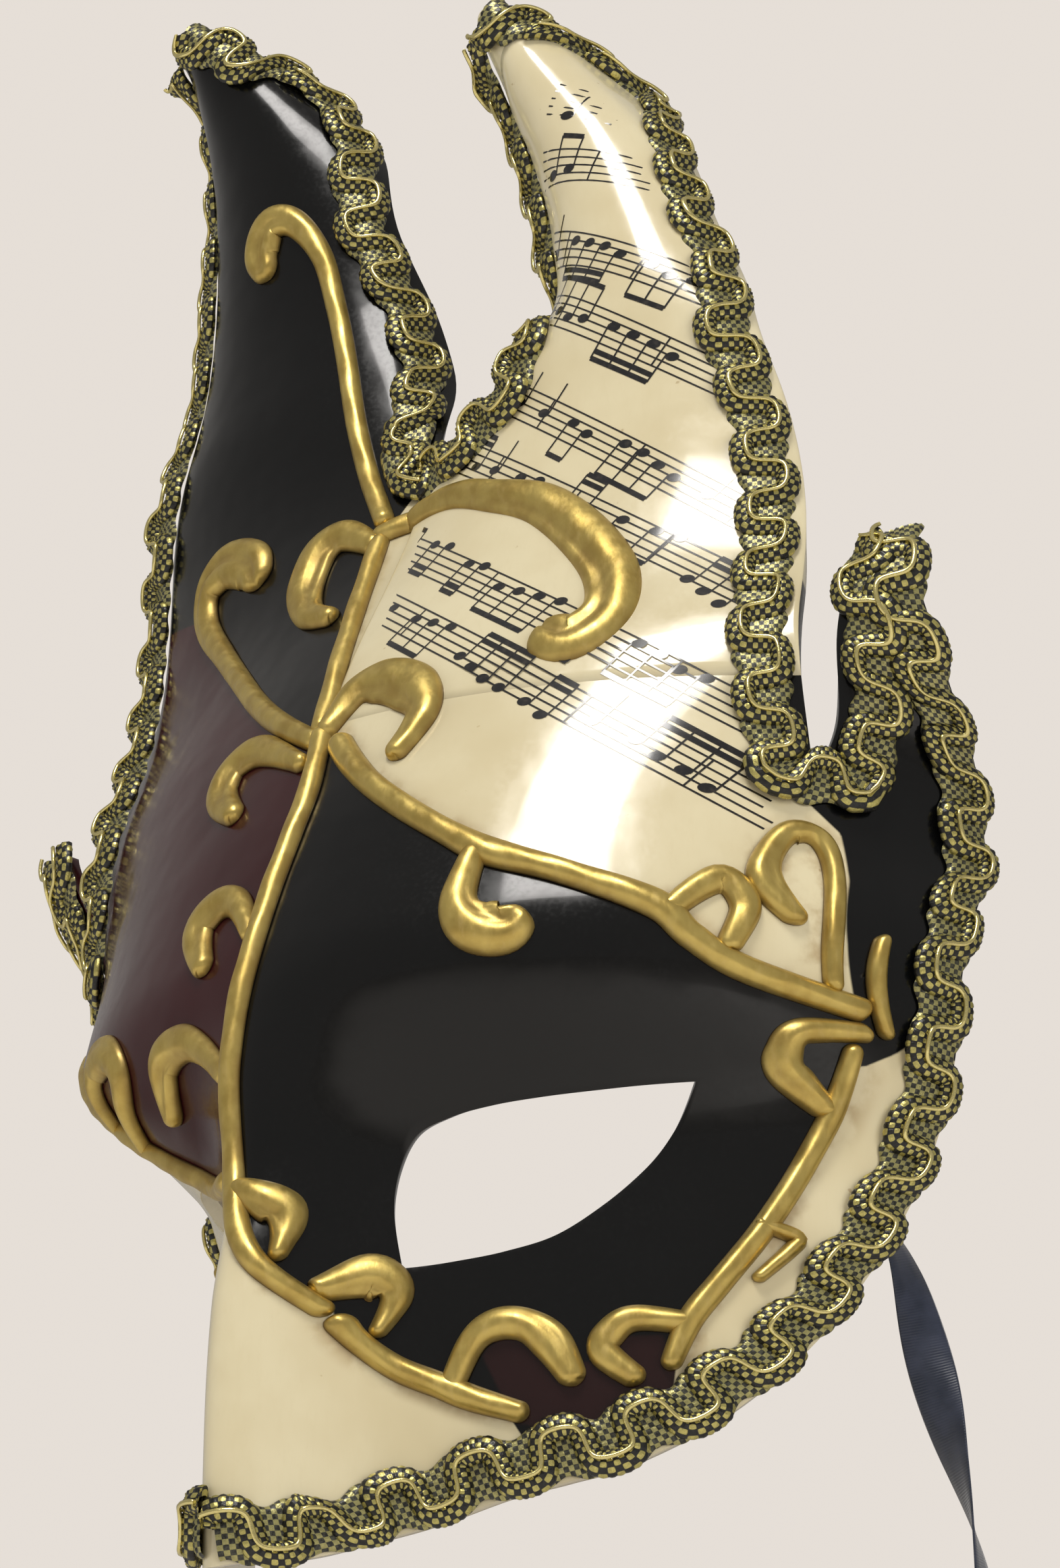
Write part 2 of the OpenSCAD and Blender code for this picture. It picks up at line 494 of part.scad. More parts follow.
// Fixing patches, glued inside the shell over the ends of the ribbon.
PATCH_MID = [60, 5];
PATCH_W = 12;
PATCH_ROWS = 5;
PATCH_COLS = 4;
module ribbon_patch(side) {
    mid = [side * real_x(PATCH_MID.x), real_z(PATCH_MID.y)];
    grid = [for (r = [0:PATCH_ROWS])
        let(p = mid + [0, (r / PATCH_ROWS - 0.5) * patch_l])
        [for (i = [0:PATCH_COLS]) walk(p, [1, 0], (i / PATCH_COLS - 0.5) * PATCH_W)]];
    lines = [
        [0, 0, 0, PATCH_COLS],
        [0, PATCH_COLS, PATCH_ROWS, PATCH_COLS],
        [PATCH_ROWS, PATCH_COLS, PATCH_ROWS, 0],
        [PATCH_ROWS, 0, 0, 0]
    ];
    top = -shell_t - glue_gap;
    color("tan")
        sheet([[grid, true, lines]], top, top - patch_t);
}
module ribbon_patch_right() { ribbon_patch(1); }
module ribbon_patch_left() { ribbon_patch(-1); }

// The right ribbon leaves its patch, hangs behind the rim and below the
// face, and the rest of its length is folded into a hank held by a tie.
RIBBON_POINTS = [[55.2, -15.2, 2], [57.2, -13, -2], [60.2, -10.6, -6], [62.8, -8.8, -11], [64, -7.4, -16],
    [64.4, -6, -21], [65, -5.2, -26], [66, -4.6, -32], [67.2, -4, -39], [68.4, -3.2, -46],
    [69.2, -2.6, -53], [69.4, -2.4, -58], [69.4, -2.4, -61.7]];
RIBBON_SIDES = 10;
function ring(p, d, r, n) =
    let(u = unit(cross([0, 1, 0], d)), v = cross(d, u))
    [for (i = [0:n - 1]) p + r * (cos(360 * i / n) * u + sin(360 * i / n) * v)];
module tube(path, r, n) {
    m = len(path);
    points = [for (k = [0:m - 1])
        each ring(path[k], unit(path[min(m - 1, k + 1)] - path[max(0, k - 1)]), r, n)];
    sides = [for (k = [0:m - 2], i = [0:n - 1])
        let(a = k * n + i, b = k * n + (i + 1) % n)
        each [[a, a + n, b], [b, a + n, b + n]]];
    polyhedron(
        points,
        concat([[for (i = [0:n - 1]) i]], [[for (i = [n - 1:-1:0]) (m - 1) * n + i]], sides),
        convexity = 4
    );
}
module ribbon() {
    color("midnightblue")
        tube(RIBBON_POINTS, ribbon_w / 2, RIBBON_SIDES);
}

// The hank stands on end below the last point of the ribbon.
HANK_DROP = 0.3;
HANK_FN = 32;
TIE_H = 5;
TIE_T = 1;
last_point = RIBBON_POINTS[len(RIBBON_POINTS) - 1];
hank_mid = [last_point.x, last_point.y, last_point.z - HANK_DROP - hank_l / 2];
module ribbon_hank() {
    color("midnightblue")
        translate(hank_mid)
            rotate([90, 0, 0])
                linear_extrude(ribbon_w, center = true)
                    hull()
                        for (side = [-1, 1])
                            translate([0, side * (hank_l - hank_w) / 2])
                                circle(d = hank_w, $fn = HANK_FN);
}
module ribbon_tie() {
    inner = [hank_w + 2 * glue_gap, ribbon_w + 2 * glue_gap];
    color("black")
        translate(hank_mid)
            linear_extrude(TIE_H, center = true)
                difference() {
                    square([inner.x + 2 * TIE_T, inner.y + 2 * TIE_T], center = true);
                    square(inner, center = true);
                }
}

shell();
score_paper();
braid_centre_valley();
braid_right_valley();
braid_left_valley();
braid_right_rim();
braid_left_rim();
scroll_centre_vine();
scroll_nose_leaf();
scroll_bridge_bud();
scroll_lower_vine();
scroll_lower_arch_inner();
scroll_lower_arch_outer();
scroll_cheek_vine();
scroll_cheek_leaf();
scroll_temple_curl();
scroll_heart();
scroll_side_spray();
scroll_brow_vine();
scroll_brow_curl_inner();
scroll_brow_curl_outer();
scroll_forehead_leaf();
scroll_forehead_stem();
scroll_forehead_spiral();
scroll_horn();
scroll_horn_curl();
scroll_left_branch();
scroll_left_curl_high();
scroll_left_curl_middle();
scroll_left_curl_low();
scroll_left_brow_vine();
scroll_left_brow_curl();
scroll_left_cheek_vine();
scroll_left_lower_vine();
ribbon_patch_right();
ribbon_patch_left();
ribbon();
ribbon_hank();
ribbon_tie();
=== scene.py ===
# %% [markdown]
# # A Venetian mask with a crown of four horns
# A papier-mache half mask, lacquered and gilded, edged with gimp braid and tied on with a satin
# ribbon.  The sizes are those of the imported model: every visible piece is laid on the same surface,
# which is written below as one function of x and z.

# %% Load the frame
import math
import bpy
import numpy as np
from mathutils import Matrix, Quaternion, Vector


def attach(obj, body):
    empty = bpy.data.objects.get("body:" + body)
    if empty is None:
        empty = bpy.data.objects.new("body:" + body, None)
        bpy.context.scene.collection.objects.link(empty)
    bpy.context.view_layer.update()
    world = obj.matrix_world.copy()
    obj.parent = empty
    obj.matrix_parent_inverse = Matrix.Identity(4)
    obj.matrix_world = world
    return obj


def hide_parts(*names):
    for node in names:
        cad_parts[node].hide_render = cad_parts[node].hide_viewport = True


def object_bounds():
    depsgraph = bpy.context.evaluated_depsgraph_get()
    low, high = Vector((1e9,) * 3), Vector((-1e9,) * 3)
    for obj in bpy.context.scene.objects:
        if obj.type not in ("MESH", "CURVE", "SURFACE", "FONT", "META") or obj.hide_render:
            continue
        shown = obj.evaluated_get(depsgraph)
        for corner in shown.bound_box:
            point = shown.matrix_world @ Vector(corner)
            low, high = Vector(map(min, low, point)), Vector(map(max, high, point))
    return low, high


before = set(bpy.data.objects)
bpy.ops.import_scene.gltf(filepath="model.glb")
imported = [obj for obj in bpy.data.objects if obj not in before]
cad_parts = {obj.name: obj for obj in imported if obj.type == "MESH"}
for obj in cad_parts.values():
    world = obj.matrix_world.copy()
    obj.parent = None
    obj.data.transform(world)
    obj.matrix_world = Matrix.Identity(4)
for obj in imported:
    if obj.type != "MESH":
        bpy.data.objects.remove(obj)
cad_low, cad_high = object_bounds()
scene = bpy.context.scene
scene.view_settings.view_transform = "Standard"
MM = 0.001
print("frame", len(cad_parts), "nodes", [round(v, 3) for v in (cad_high - cad_low)])

# %% [markdown]
# ## Camera
# The mask is seen from its right and from well below, with a long lens.  The camera's place is given
# outright, in metres.  Two angles say which way it looks, and a third rolls the view a little.

# %% Camera
CAMERA_AT = (0.2741, -0.3675, -0.1274)
AZIMUTH = math.radians(36.71)
ELEVATION = math.radians(-23.54)
ROLL = math.radians(-1.04)
LENS_MM = 76.5
back = Vector((math.sin(AZIMUTH) * math.cos(ELEVATION), -math.cos(AZIMUTH) * math.cos(ELEVATION),
               math.sin(ELEVATION)))
camera = bpy.data.objects.new("camera", bpy.data.cameras.new("camera"))
scene.collection.objects.link(camera)
camera.data.lens = LENS_MM
camera.data.sensor_width = 36
camera.data.clip_start = 0.01
camera.rotation_mode = "QUATERNION"
camera.location = CAMERA_AT
camera.rotation_quaternion = Quaternion(back, ROLL) @ (-back).to_track_quat("-Z", "Y")
scene.camera = camera
print("camera", camera.location[:])

# %% [markdown]
# ## The surface as a function
# The whole shell is one height field: y, the depth, is worked out for any x and z from a few profiles.
# A profile is a smooth curve through chosen points, here a cubic Hermite curve.

# %% Profiles and curves
def ease(a, b, x):
    """Smooth step: 0 before a, 1 after b, 3 t^2 - 2 t^3 between."""
    t = np.clip((x - a) / (b - a), 0, 1)
    return t * t * (3 - 2 * t)


def profile(table, x):
    """Cubic Hermite through [position, value] pairs, slopes taken between each point's neighbours."""
    p, v = np.array(table, float).T
    n = len(p)
    before, after = np.maximum(np.arange(n) - 1, 0), np.minimum(np.arange(n) + 1, n - 1)
    slope = (v[after] - v[before]) / (p[after] - p[before])
    x = np.asarray(x, float)
    i = np.clip(np.searchsorted(p, x, side="right") - 1, 0, n - 2)
    h = p[i + 1] - p[i]
    s = np.clip((x - p[i]) / h, 0, 1)
    return ((2 * s**3 - 3 * s**2 + 1) * v[i] + (s**3 - 2 * s**2 + s) * h * slope[i]
            + (3 * s**2 - 2 * s**3) * v[i + 1] + (s**3 - s**2) * h * slope[i + 1])


def curve(points, u):
    """Catmull-Rom curve through points, at parameters u counted in spans."""
    p = np.array(points, float)
    m = len(p) - 1
    u = np.asarray(u, float)
    i = np.clip(np.floor(u).astype(int), 0, m - 1)
    t = (u - i)[:, None]
    a, b, c, d = p[np.maximum(i - 1, 0)], p[i], p[i + 1], p[np.minimum(i + 2, m)]
    return 0.5 * (2 * b + (c - a) * t + (2 * a - 5 * b + 4 * c - d) * t**2
                  + (3 * b - a - 3 * c + d) * t**3)


def sampled(points, n):
    """The curve in n equal steps of its parameter."""
    return curve(points, np.linspace(0, len(points) - 1, n + 1))


# %% The surface
MIDDLE_PROFILE = [[-60, -66], [-45, -67], [-20, -66], [-3, -62], [12, -62.5], [25, -61],
                  [45, -55], [65, -47], [90, -36], [110, -28], [125, -22], [140, -18], [220, -18]]
HORN_PROFILE = [[60, -47], [90, -36], [110, -31], [130, -28], [150, -27], [170, -29], [190, -33],
                [220, -42]]
LEFT_HORN_MID = [[60, -31], [118, -30], [148, -29], [178, -30], [200, -37], [208, -43]]
LEFT_HORN_HALF = [[60, 31], [118, 30], [148, 23], [178, 17], [200, 9], [208, 5]]
RIGHT_HORN_MID = [[60, 31], [117, 28.5], [134, 35], [148, 33], [162, 29], [174, 23.5], [190, 16]]
RIGHT_HORN_HALF = [[60, 31], [117, 28.5], [134, 16], [148, 13], [162, 11], [174, 8.5], [190, 5]]
CHEEK_Y = -50
HEAD_HALF_W = 84
HEAD_DEPTH = 96
NOSE_HALF_W = 11
CROWN_CURVE = 0.0052
HORN_BULGE = 9
EDGE_ROLL = 5
SIDE_FLARE = 9
ROLL_FROM = 0.78
SHELL_T = 2
CHEEK_SWEEP, SWEEP_RISE, SWEEP_START = 26, 0.62, -5


def sweep(x, z):
    """The left cheek falls away below a line that rises from the bridge of the nose to the temple."""
    above = z - SWEEP_RISE * abs(x) - SWEEP_START
    return np.where(x < 0, CHEEK_SWEEP * ease(0, 55, -x) * (1 - ease(-18, 2, above)), 0.0)


def face(x, z):
    """Half-elliptic head plus a Gaussian nose ridge below, a shallow parabola across the forehead."""
    low, flat = 1 - ease(-5, 30, z), ease(35, 75, z)
    head = HEAD_DEPTH * (1 - np.sqrt(np.maximum(0.02, 1 - (x / HEAD_HALF_W) ** 2)))
    middle = profile(MIDDLE_PROFILE, z)
    below = CHEEK_Y + head + (middle - CHEEK_Y) * np.exp(-((x / NOSE_HALF_W) ** 2))
    above = middle + (1 - flat) * head + flat * CROWN_CURVE * x * x
    flare = SIDE_FLARE * ease(60, 80, abs(x)) * ease(46, 78, z)
    return low * below + (1 - low) * above + sweep(x, z) - flare


def horn(x, z):
    """A horn is bulged by |u|^2.2, u being -1 to 1 from edge to edge, and rolls back past ROLL_FROM."""
    mid = np.where(x > 0, profile(RIGHT_HORN_MID, z), profile(LEFT_HORN_MID, z))
    half = np.where(x > 0, profile(RIGHT_HORN_HALF, z), profile(LEFT_HORN_HALF, z))
    u = np.clip(np.where(x > 0, 1, -1) * (x - mid) / half, -1.3, 1.3)
    roll = (np.maximum(0, u - ROLL_FROM) / (1 - ROLL_FROM)) ** 2
    roll_in = (np.maximum(0, -u - ROLL_FROM) / (1 - ROLL_FROM)) ** 2 * ease(118, 140, z)
    return profile(HORN_PROFILE, z) + HORN_BULGE * abs(u) ** 2.2 + EDGE_ROLL * (roll + roll_in)


def skin_y(x, z):
    """The face blends into the horns between 75 and 135 mm above the eyes."""
    w = ease(75, 135, z)
    return (1 - w) * face(x, z) + w * horn(x, z)


def on_skin(x, z, h=0.0, step=0.25):
    """The surface point plus h times the unit normal (dy/dx, -1, dy/dz), in millimetres."""
    dx = (skin_y(x + step, z) - skin_y(x - step, z)) / (2 * step)
    dz = (skin_y(x, z + step) - skin_y(x, z - step)) / (2 * step)
    normal = np.stack([dx, -np.ones_like(dx), dz], -1)
    normal /= np.linalg.norm(normal, axis=-1, keepdims=True)
    return np.stack([x, skin_y(x, z), z], -1) + np.asarray(h)[..., None] * normal


def walk(x, z, sx, sz, d, steps=6):
    """Goes d mm over the surface from (x, z) in direction (sx, sz), in steps, each divided by the slope."""
    for _ in range(steps):
        slope = (skin_y(x + sx, z + sz) - skin_y(x - sx, z - sz)) / 2
        k = d / steps / np.sqrt(1 + slope**2)
        x, z = x + sx * k, z + sz * k
    return x, z


print("nose tip depth", float(skin_y(np.array(0.0), np.array(-45.0))))

# %% [markdown]
# ## Helpers that turn arrays into pieces
# A piece is a grid of points with quads between them.  Each new mesh rides on the frame's one body.
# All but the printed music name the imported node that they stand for.

# %% Mesh helpers
def grid_quads(rows, cols, closed=False, at=0):
    """Quads of a rows by cols grid; closed joins the last column to the first."""
    r, c = np.meshgrid(np.arange(rows - 1), np.arange(cols if closed else cols - 1), indexing="ij")
    a, b = r * cols + c, r * cols + (c + 1) % cols
    return np.stack([a, b, b + cols, a + cols], -1).reshape(-1, 4) + at


def make_piece(name, points_mm, quads, materials, nodes=(), slot=None, uv=None, faces_of=None, caps=(),
               **fields):
    """Builds a mesh from points in mm, sets smooth faces, UVs, attributes and materials, and rides it."""
    mesh = bpy.data.meshes.new(name)
    points = np.asarray(points_mm, float).reshape(-1, 3) * MM
    mesh.from_pydata(points.tolist(), [], np.asarray(quads).tolist() + [list(c) for c in caps])
    mesh.polygons.foreach_set("use_smooth", np.ones(len(mesh.polygons), bool))
    if faces_of is not None:
        index = np.zeros(len(mesh.polygons), np.int32)
        index[: len(faces_of)] = faces_of
        mesh.polygons.foreach_set("material_index", index)
    if uv is not None:
        loops = np.zeros(len(mesh.loops), np.int32)
        mesh.loops.foreach_get("vertex_index", loops)
        layer = mesh.uv_layers.new(name="along")
        layer.data.foreach_set("uv", np.asarray(uv, np.float32).reshape(-1, 2)[loops].ravel())
    for field, values in fields.items():
        layer = mesh.attributes.new(field, "FLOAT", "POINT")
        layer.data.foreach_set("value", np.asarray(values, np.float32).ravel())
    for material in materials:
        mesh.materials.append(material)
    mesh.update()
    piece = bpy.data.objects.new(name, mesh)
    scene.collection.objects.link(piece)
    if nodes:
        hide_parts(*nodes)
    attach(piece, "root")
    return piece


def triangles(piece):
    """Triangles of the piece's own mesh: a face of n corners counts n - 2."""
    return sum(len(p.vertices) - 2 for p in piece.data.polygons)


# %% [markdown]
# ## Materials
# Each finish is a small node graph.  A helper adds nodes by type and links them, so that a material
# reads as a recipe: pattern first, then colour, roughness and bump.

# %% Node helpers
class Recipe:
    """A material's node graph with short calls for the nodes that these finishes need."""

    def __init__(self, name):
        self.material = bpy.data.materials.new(name)
        self.material.use_nodes = True
        self.tree = self.material.node_tree
        self.shader = self.tree.nodes["Principled BSDF"]

    def put(self, socket, value):
        """Links a socket, or sets a colour or a number on it."""
        if isinstance(value, bpy.types.NodeSocket):
            self.tree.links.new(value, socket)
        elif hasattr(socket.default_value, "__len__") and len(socket.default_value) == 4:
            socket.default_value = (*value, 1.0)
        else:
            socket.default_value = value

    def node(self, kind, **settings):
        """A new node of a kind, with its settings."""
        made = self.tree.nodes.new(kind)
        for key, value in settings.items():
            setattr(made, key, value)
        return made

    def place(self, scale=1.0, uv=False):
        """Object coordinates in millimetres times scale, or the piece's own UV map."""
        source = self.node("ShaderNodeTexCoord").outputs["UV" if uv else "Object"]
        mapping = self.node("ShaderNodeMapping")
        self.put(mapping.inputs["Vector"], source)
        size = scale if isinstance(scale, tuple) else (scale,) * 3
        mapping.inputs["Scale"].default_value = size if uv else tuple(1000 * s for s in size)
        return mapping.outputs["Vector"]

    def noise(self, where, detail=3.0, rough=0.5):
        """Fractal noise, about one lump for each unit of its place."""
        made = self.node("ShaderNodeTexNoise")
        self.put(made.inputs["Vector"], where)
        made.inputs["Scale"].default_value = 1.0
        made.inputs["Detail"].default_value = detail
        made.inputs["Roughness"].default_value = rough
        return made.outputs["Fac"]

    def bands(self, direction, scale):
        """Even stripes that follow each other along X, the U of the piece's UV map, or Y, its V."""
        made = self.node("ShaderNodeTexWave", wave_type="BANDS", bands_direction=direction)
        self.put(made.inputs["Vector"], self.place(uv=True))
        made.inputs["Scale"].default_value = scale
        return made.outputs["Fac"]

    def field(self, name):
        """A number kept on the points of the mesh."""
        return self.node("ShaderNodeAttribute", attribute_name=name).outputs["Fac"]

    def math(self, operation, a, b=0.0, c=0.0):
        """Arithmetic on up to three numbers."""
        made = self.node("ShaderNodeMath", operation=operation)
        for socket, value in zip(made.inputs, (a, b, c)):
            self.put(socket, value)
        return made.outputs[0]

    def span(self, value, a, b, low=0.0, high=1.0):
        """Smoothly maps value from a..b to low..high."""
        made = self.node("ShaderNodeMapRange", interpolation_type="SMOOTHSTEP")
        names = ("Value", "From Min", "From Max", "To Min", "To Max")
        for name, number in zip(names, (value, a, b, low, high)):
            self.put(made.inputs[name], number)
        return made.outputs["Result"]

    def mix(self, amount, a, b):
        """Colour a where amount is 0, colour b where it is 1."""
        made = self.node("ShaderNodeMix", data_type="RGBA")
        self.put(made.inputs[0], amount)
        self.put(made.inputs[6], a)
        self.put(made.inputs[7], b)
        return made.outputs[2]

    def bump(self, height, strength, distance_mm, under=None):
        """Bends the light as if height rose by distance_mm, on top of another bump."""
        made = self.node("ShaderNodeBump")
        self.put(made.inputs["Height"], height)
        made.inputs["Strength"].default_value = strength
        made.inputs["Distance"].default_value = distance_mm * MM
        if under is not None:
            self.put(made.inputs["Normal"], under)
        return made.outputs["Normal"]

    def finish(self, **sockets):
        """Fills the shader's sockets, named with _ for a space, and gives the material."""
        for key, value in sockets.items():
            self.put(self.shader.inputs[key.replace("_", " ")], value)
        return self.material


# %% [markdown]
# ## The ribbon
# One satin ribbon leaves its patch inside the shell and hangs behind the rim.  The rest of its length
# is folded into a hank just below, so that the part can be stored.  A flat strip is carried along the
# route; its width direction turns slowly, as a hanging ribbon twists.

# %% Ribbon route
RIBBON_W = 6.0
RIBBON_T = 0.3
RIBBON_STEP = 1.0
RIBBON_POINTS = [[55.2, -15.2, 2], [57.2, -13, -2], [60.2, -10.6, -6], [62.8, -8.8, -11], [64, -7.4, -16],
                 [64.4, -6, -21], [65, -5.2, -26], [66, -4.6, -32], [67.2, -4, -39], [68.4, -3.2, -46],
                 [69.2, -2.6, -53], [69.4, -2.4, -58], [69.4, -2.4, -61.7]]
HANK_L, HANK_W, HANK_DROP = 96.0, 36.0, 0.3
LANE_INSET, LANE_STEP = 0.6, 0.9
HUMP = 5.2
TURN = 205
hank_x, hank_y = RIBBON_POINTS[-1][:2]
hank_top = RIBBON_POINTS[-1][2] - HANK_DROP
lane = HANK_W / 2 - LANE_INSET
inner = lane - LANE_STEP
arc_top, arc_low = hank_top - HANK_W / 2, hank_top - HANK_L + HANK_W / 2


def arc(start, stop, radius, z, n, hump=0.0):
    """Part of a fold: angle from the +X side, in degrees; hump lifts its middle off the plane."""
    t = np.radians(np.linspace(start, stop, n))
    rise = hump * np.sin(np.linspace(0, math.pi, n)) ** 2
    return np.stack([hank_x + radius * np.cos(t), hank_y + rise, z + radius * np.sin(t)], -1)


def run(side, radius, z0, z1, n):
    """A straight stretch of the hank from height z0 to z1, at its left or right side."""
    z = np.linspace(z0, z1, n)
    return np.stack([np.full(n, hank_x + side * radius), np.full(n, hank_y), z], -1)


entry_z = np.linspace(hank_top - 2, arc_top - 26, 8)
entry = np.stack([hank_x + lane * ease(hank_top, arc_top - 28, entry_z), np.full(8, hank_y), entry_z], -1)
route = np.concatenate([
    sampled(RIBBON_POINTS, 48), entry, run(1, lane, arc_top - 32, arc_low, 6)[0:5],
    arc(0, -180, lane, arc_low, 13), run(-1, lane, arc_low + 8, arc_top, 7),
    arc(180, 0, lane - 0.3, arc_top, 15, HUMP)[1:], run(1, inner, arc_top - 8, arc_low, 7),
    arc(0, -180, inner, arc_low, 13)[1:], run(-1, inner, arc_low + 8, arc_low + 34, 4)])
span = np.linalg.norm(np.diff(route, axis=0), axis=1)
along = np.concatenate([[0], np.cumsum(span)])
fine = np.arange(0, along[-1], RIBBON_STEP)
line = np.stack([np.interp(fine, along, route[:, k]) for k in range(3)], -1)
smooth = np.ones(5) / 5
padded = np.pad(line, ((2, 2), (0, 0)), mode="edge")
line = np.stack([np.convolve(padded[:, k], smooth, "valid") for k in range(3)], -1)

# %% Ribbon finish
r = Recipe("ribbon_satin")
ribs = r.bands("X", 0.9)
cloth = r.noise(r.place(0.35), 4.0)
r.finish(Base_Color=r.mix(r.span(cloth, 0.35, 0.7), (0.012, 0.017, 0.032), (0.022, 0.028, 0.05)),
         Roughness=r.span(cloth, 0.3, 0.7, 0.34, 0.5), Sheen_Weight=0.4, Sheen_Roughness=0.4,
         Normal=r.bump(ribs, 0.35, 0.06))
ribbon_satin = r.material

# %% Ribbon
forward = np.gradient(line, axis=0)
forward /= np.linalg.norm(forward, axis=1, keepdims=True)
where = np.arange(len(line)) * RIBBON_STEP
turn = np.radians(TURN * (1 - ease(4, 70, where)))
across0 = np.cross(forward, np.array([0.0, 1.0, 0.0]))
across0 /= np.linalg.norm(across0, axis=1, keepdims=True)
across1 = np.cross(across0, forward)
width_dir = -across0 * np.sin(turn)[:, None] + across1 * np.cos(turn)[:, None]
face_dir = np.cross(width_dir, forward)
offsets = np.array([[-0.5, 0], [-0.46, 0.5], [-0.2, 0.5], [0.2, 0.5], [0.46, 0.5], [0.5, 0],
                    [0.46, -0.5], [0.2, -0.5], [-0.2, -0.5], [-0.46, -0.5]])
strip = (line[:, None] + offsets[None, :, :1] * RIBBON_W * width_dir[:, None]
         + offsets[None, :, 1:] * RIBBON_T * face_dir[:, None])
rows, cols = strip.shape[:2]
ribbon_uv = np.stack(np.broadcast_arrays(where[:, None], offsets[None, :, 0] * RIBBON_W), -1)
ribbon = make_piece("satin_ribbon", strip, grid_quads(rows, cols, True), [ribbon_satin],
                    ["ribbon", "ribbon_hank"], "ribbon_satin", uv=ribbon_uv,
                    caps=[range(cols)[::-1], range((rows - 1) * cols, rows * cols)])
print("ribbon", triangles(ribbon), "triangles")

# %% [markdown]
# The tie is a woven elastic band round the middle of the hank: a rounded rectangle carried round a
# section that is a superellipse, |x/a|^6 + |y/b|^6 = 1.

# %% Tie
r = Recipe("tie_elastic")
weave = r.bands("Y", 1.4)
r.finish(Base_Color=r.mix(weave, (0.006, 0.006, 0.008), (0.03, 0.03, 0.034)), Roughness=0.75,
         Normal=r.bump(weave, 0.6, 0.15))
TIE_H, TIE_T, TIE_GAP = 5.0, 1.0, 0.3
TIE_STEPS = 96
phi = np.linspace(0, 2 * math.pi, TIE_STEPS, endpoint=False)
section = [(0, -0.5), (0.7, -0.46), (1, -0.3), (1, 0.3), (0.7, 0.46), (0, 0.5)]
rings = []
for depth, height in section:
    a, b = HANK_W / 2 + TIE_GAP + TIE_T * depth, RIBBON_W / 2 + TIE_GAP + TIE_T * depth
    c, s = np.cos(phi), np.sin(phi)
    k = (abs(c) ** 6 + abs(s) ** 6) ** (-1 / 6)
    rings.append(np.stack([hank_x + a * k * c, hank_y + b * k * s,
                           np.full(TIE_STEPS, hank_top - HANK_L / 2 + TIE_H * height)], -1))
tie_points = np.stack(rings, 1)
tie_uv = np.stack(np.broadcast_arrays(phi[:, None] * 12, np.linspace(0, 5, len(section))[None]), -1)
m = len(section)
loop = grid_quads(TIE_STEPS, m, True)
end = (TIE_STEPS - 1) * m
last = np.array([[end + i, end + (i + 1) % m, (i + 1) % m, i] for i in range(m)])
tie = make_piece("hank_tie", tie_points, np.concatenate([loop, last]), [r.material], ["ribbon_tie"],
                 "tie_elastic", uv=tie_uv)
print("tie", triangles(tie), "triangles")

# %% [markdown]
# ## The shell
# On the real mask the shell is papier-mache pressed in a mould, so it is one skin of even thickness.
# Here the skin is a set of grids laid on the surface: rings from each eye hole out to the border, and a
# grid for each horn.  Their shared borders have the same points, so they merge into one sheet, which
# then gets its wall from Solidify and its soft edges from Bevel.

# %% Outlines
LOWER_EDGE = [[0, -53], [8, -52], [14, -49.5], [20, -47.5], [28, -45], [35, -43.5], [42, -41.5],
              [51, -36], [59, -27], [65.5, -14], [70, 0.5], [73.7, 14], [75.6, 26]]
SIDE_RIM = [[75.6, 26], [76.4, 36], [76.8, 45]]
NOSE_CORNER, RIM_TOP = LOWER_EDGE[0], SIDE_RIM[-1]
CROWN_BASE, SIDE_VALLEY, VALLEY = [0, 50], [64, 48], [0, 118]
RIGHT_SMALL_IN = [[64, 48], [67, 56], [68.5, 68], [71, 81]]
RIGHT_SMALL_OUT = [[76.8, 45], [78.5, 58], [79.5, 71], [76, 83]]
LEFT_SMALL_IN = [[-64, 48], [-68, 54], [-72, 64], [-76, 74]]
LEFT_SMALL_OUT = [[-76.8, 45], [-79.5, 55], [-82, 65], [-81, 75]]
RIGHT_IN = [[0, 118], [8, 119.5], [15, 124], [19, 134], [20, 148], [18, 162], [15, 174], [13, 185]]
RIGHT_OUT = [[64, 48], [63, 75], [59, 104], [54, 125], [47, 145], [40, 163], [30, 178], [19, 187]]
LEFT_IN = [[0, 118], [-2, 132], [-6, 148], [-10, 163], [-14, 180], [-22, 193], [-31, 201], [-39, 206]]
LEFT_OUT = [[-64, 48], [-65, 75], [-63, 104], [-58, 125], [-53, 145], [-49, 165], [-47, 185], [-46, 204]]
UPPER_LID = [[50.5, 6], [45, 5.6], [40, 5.2], [34, 4.8], [28, 4.3], [22.5, 3.4], [18, 1.6], [15.6, -2.5],
             [15, -8], [16, -15.5]]
LOWER_LID = [[16, -15.5], [22, -15], [28, -14.3], [34, -12.7], [39.5, -9], [44, -4.5], [47.5, 0.5],
             [50.5, 6]]
FINE = 5
RIM_STEPS, HORN_FOOT_STEPS, BROW_STEPS, MIDDLE_STEPS, LOWER_STEPS = (FINE * n for n in (3, 4, 14, 16, 23))
RINGS, FOREHEAD_ROWS, HORN_ROWS, SMALL_ROWS = 40, 36, 60, 30
LID_TURN = 6
SOFT_EDGE = 0.55


def straight(a, b, t):
    """Points on the line from a to b at fractions t."""
    return np.array(a, float) + (np.array(b, float) - np.array(a, float)) * np.asarray(t)[:, None]


def crowd(n):
    """Fractions 0 to 1 crowded towards both ends: (1 - cos pi t) / 2."""
    return (1 - np.cos(math.pi * np.linspace(0, 1, n + 1))) / 2


def mirrored(points):
    """The same points on the other side of the mask."""
    p = np.array(points, float)
    p[..., 0] *= -1
    return p


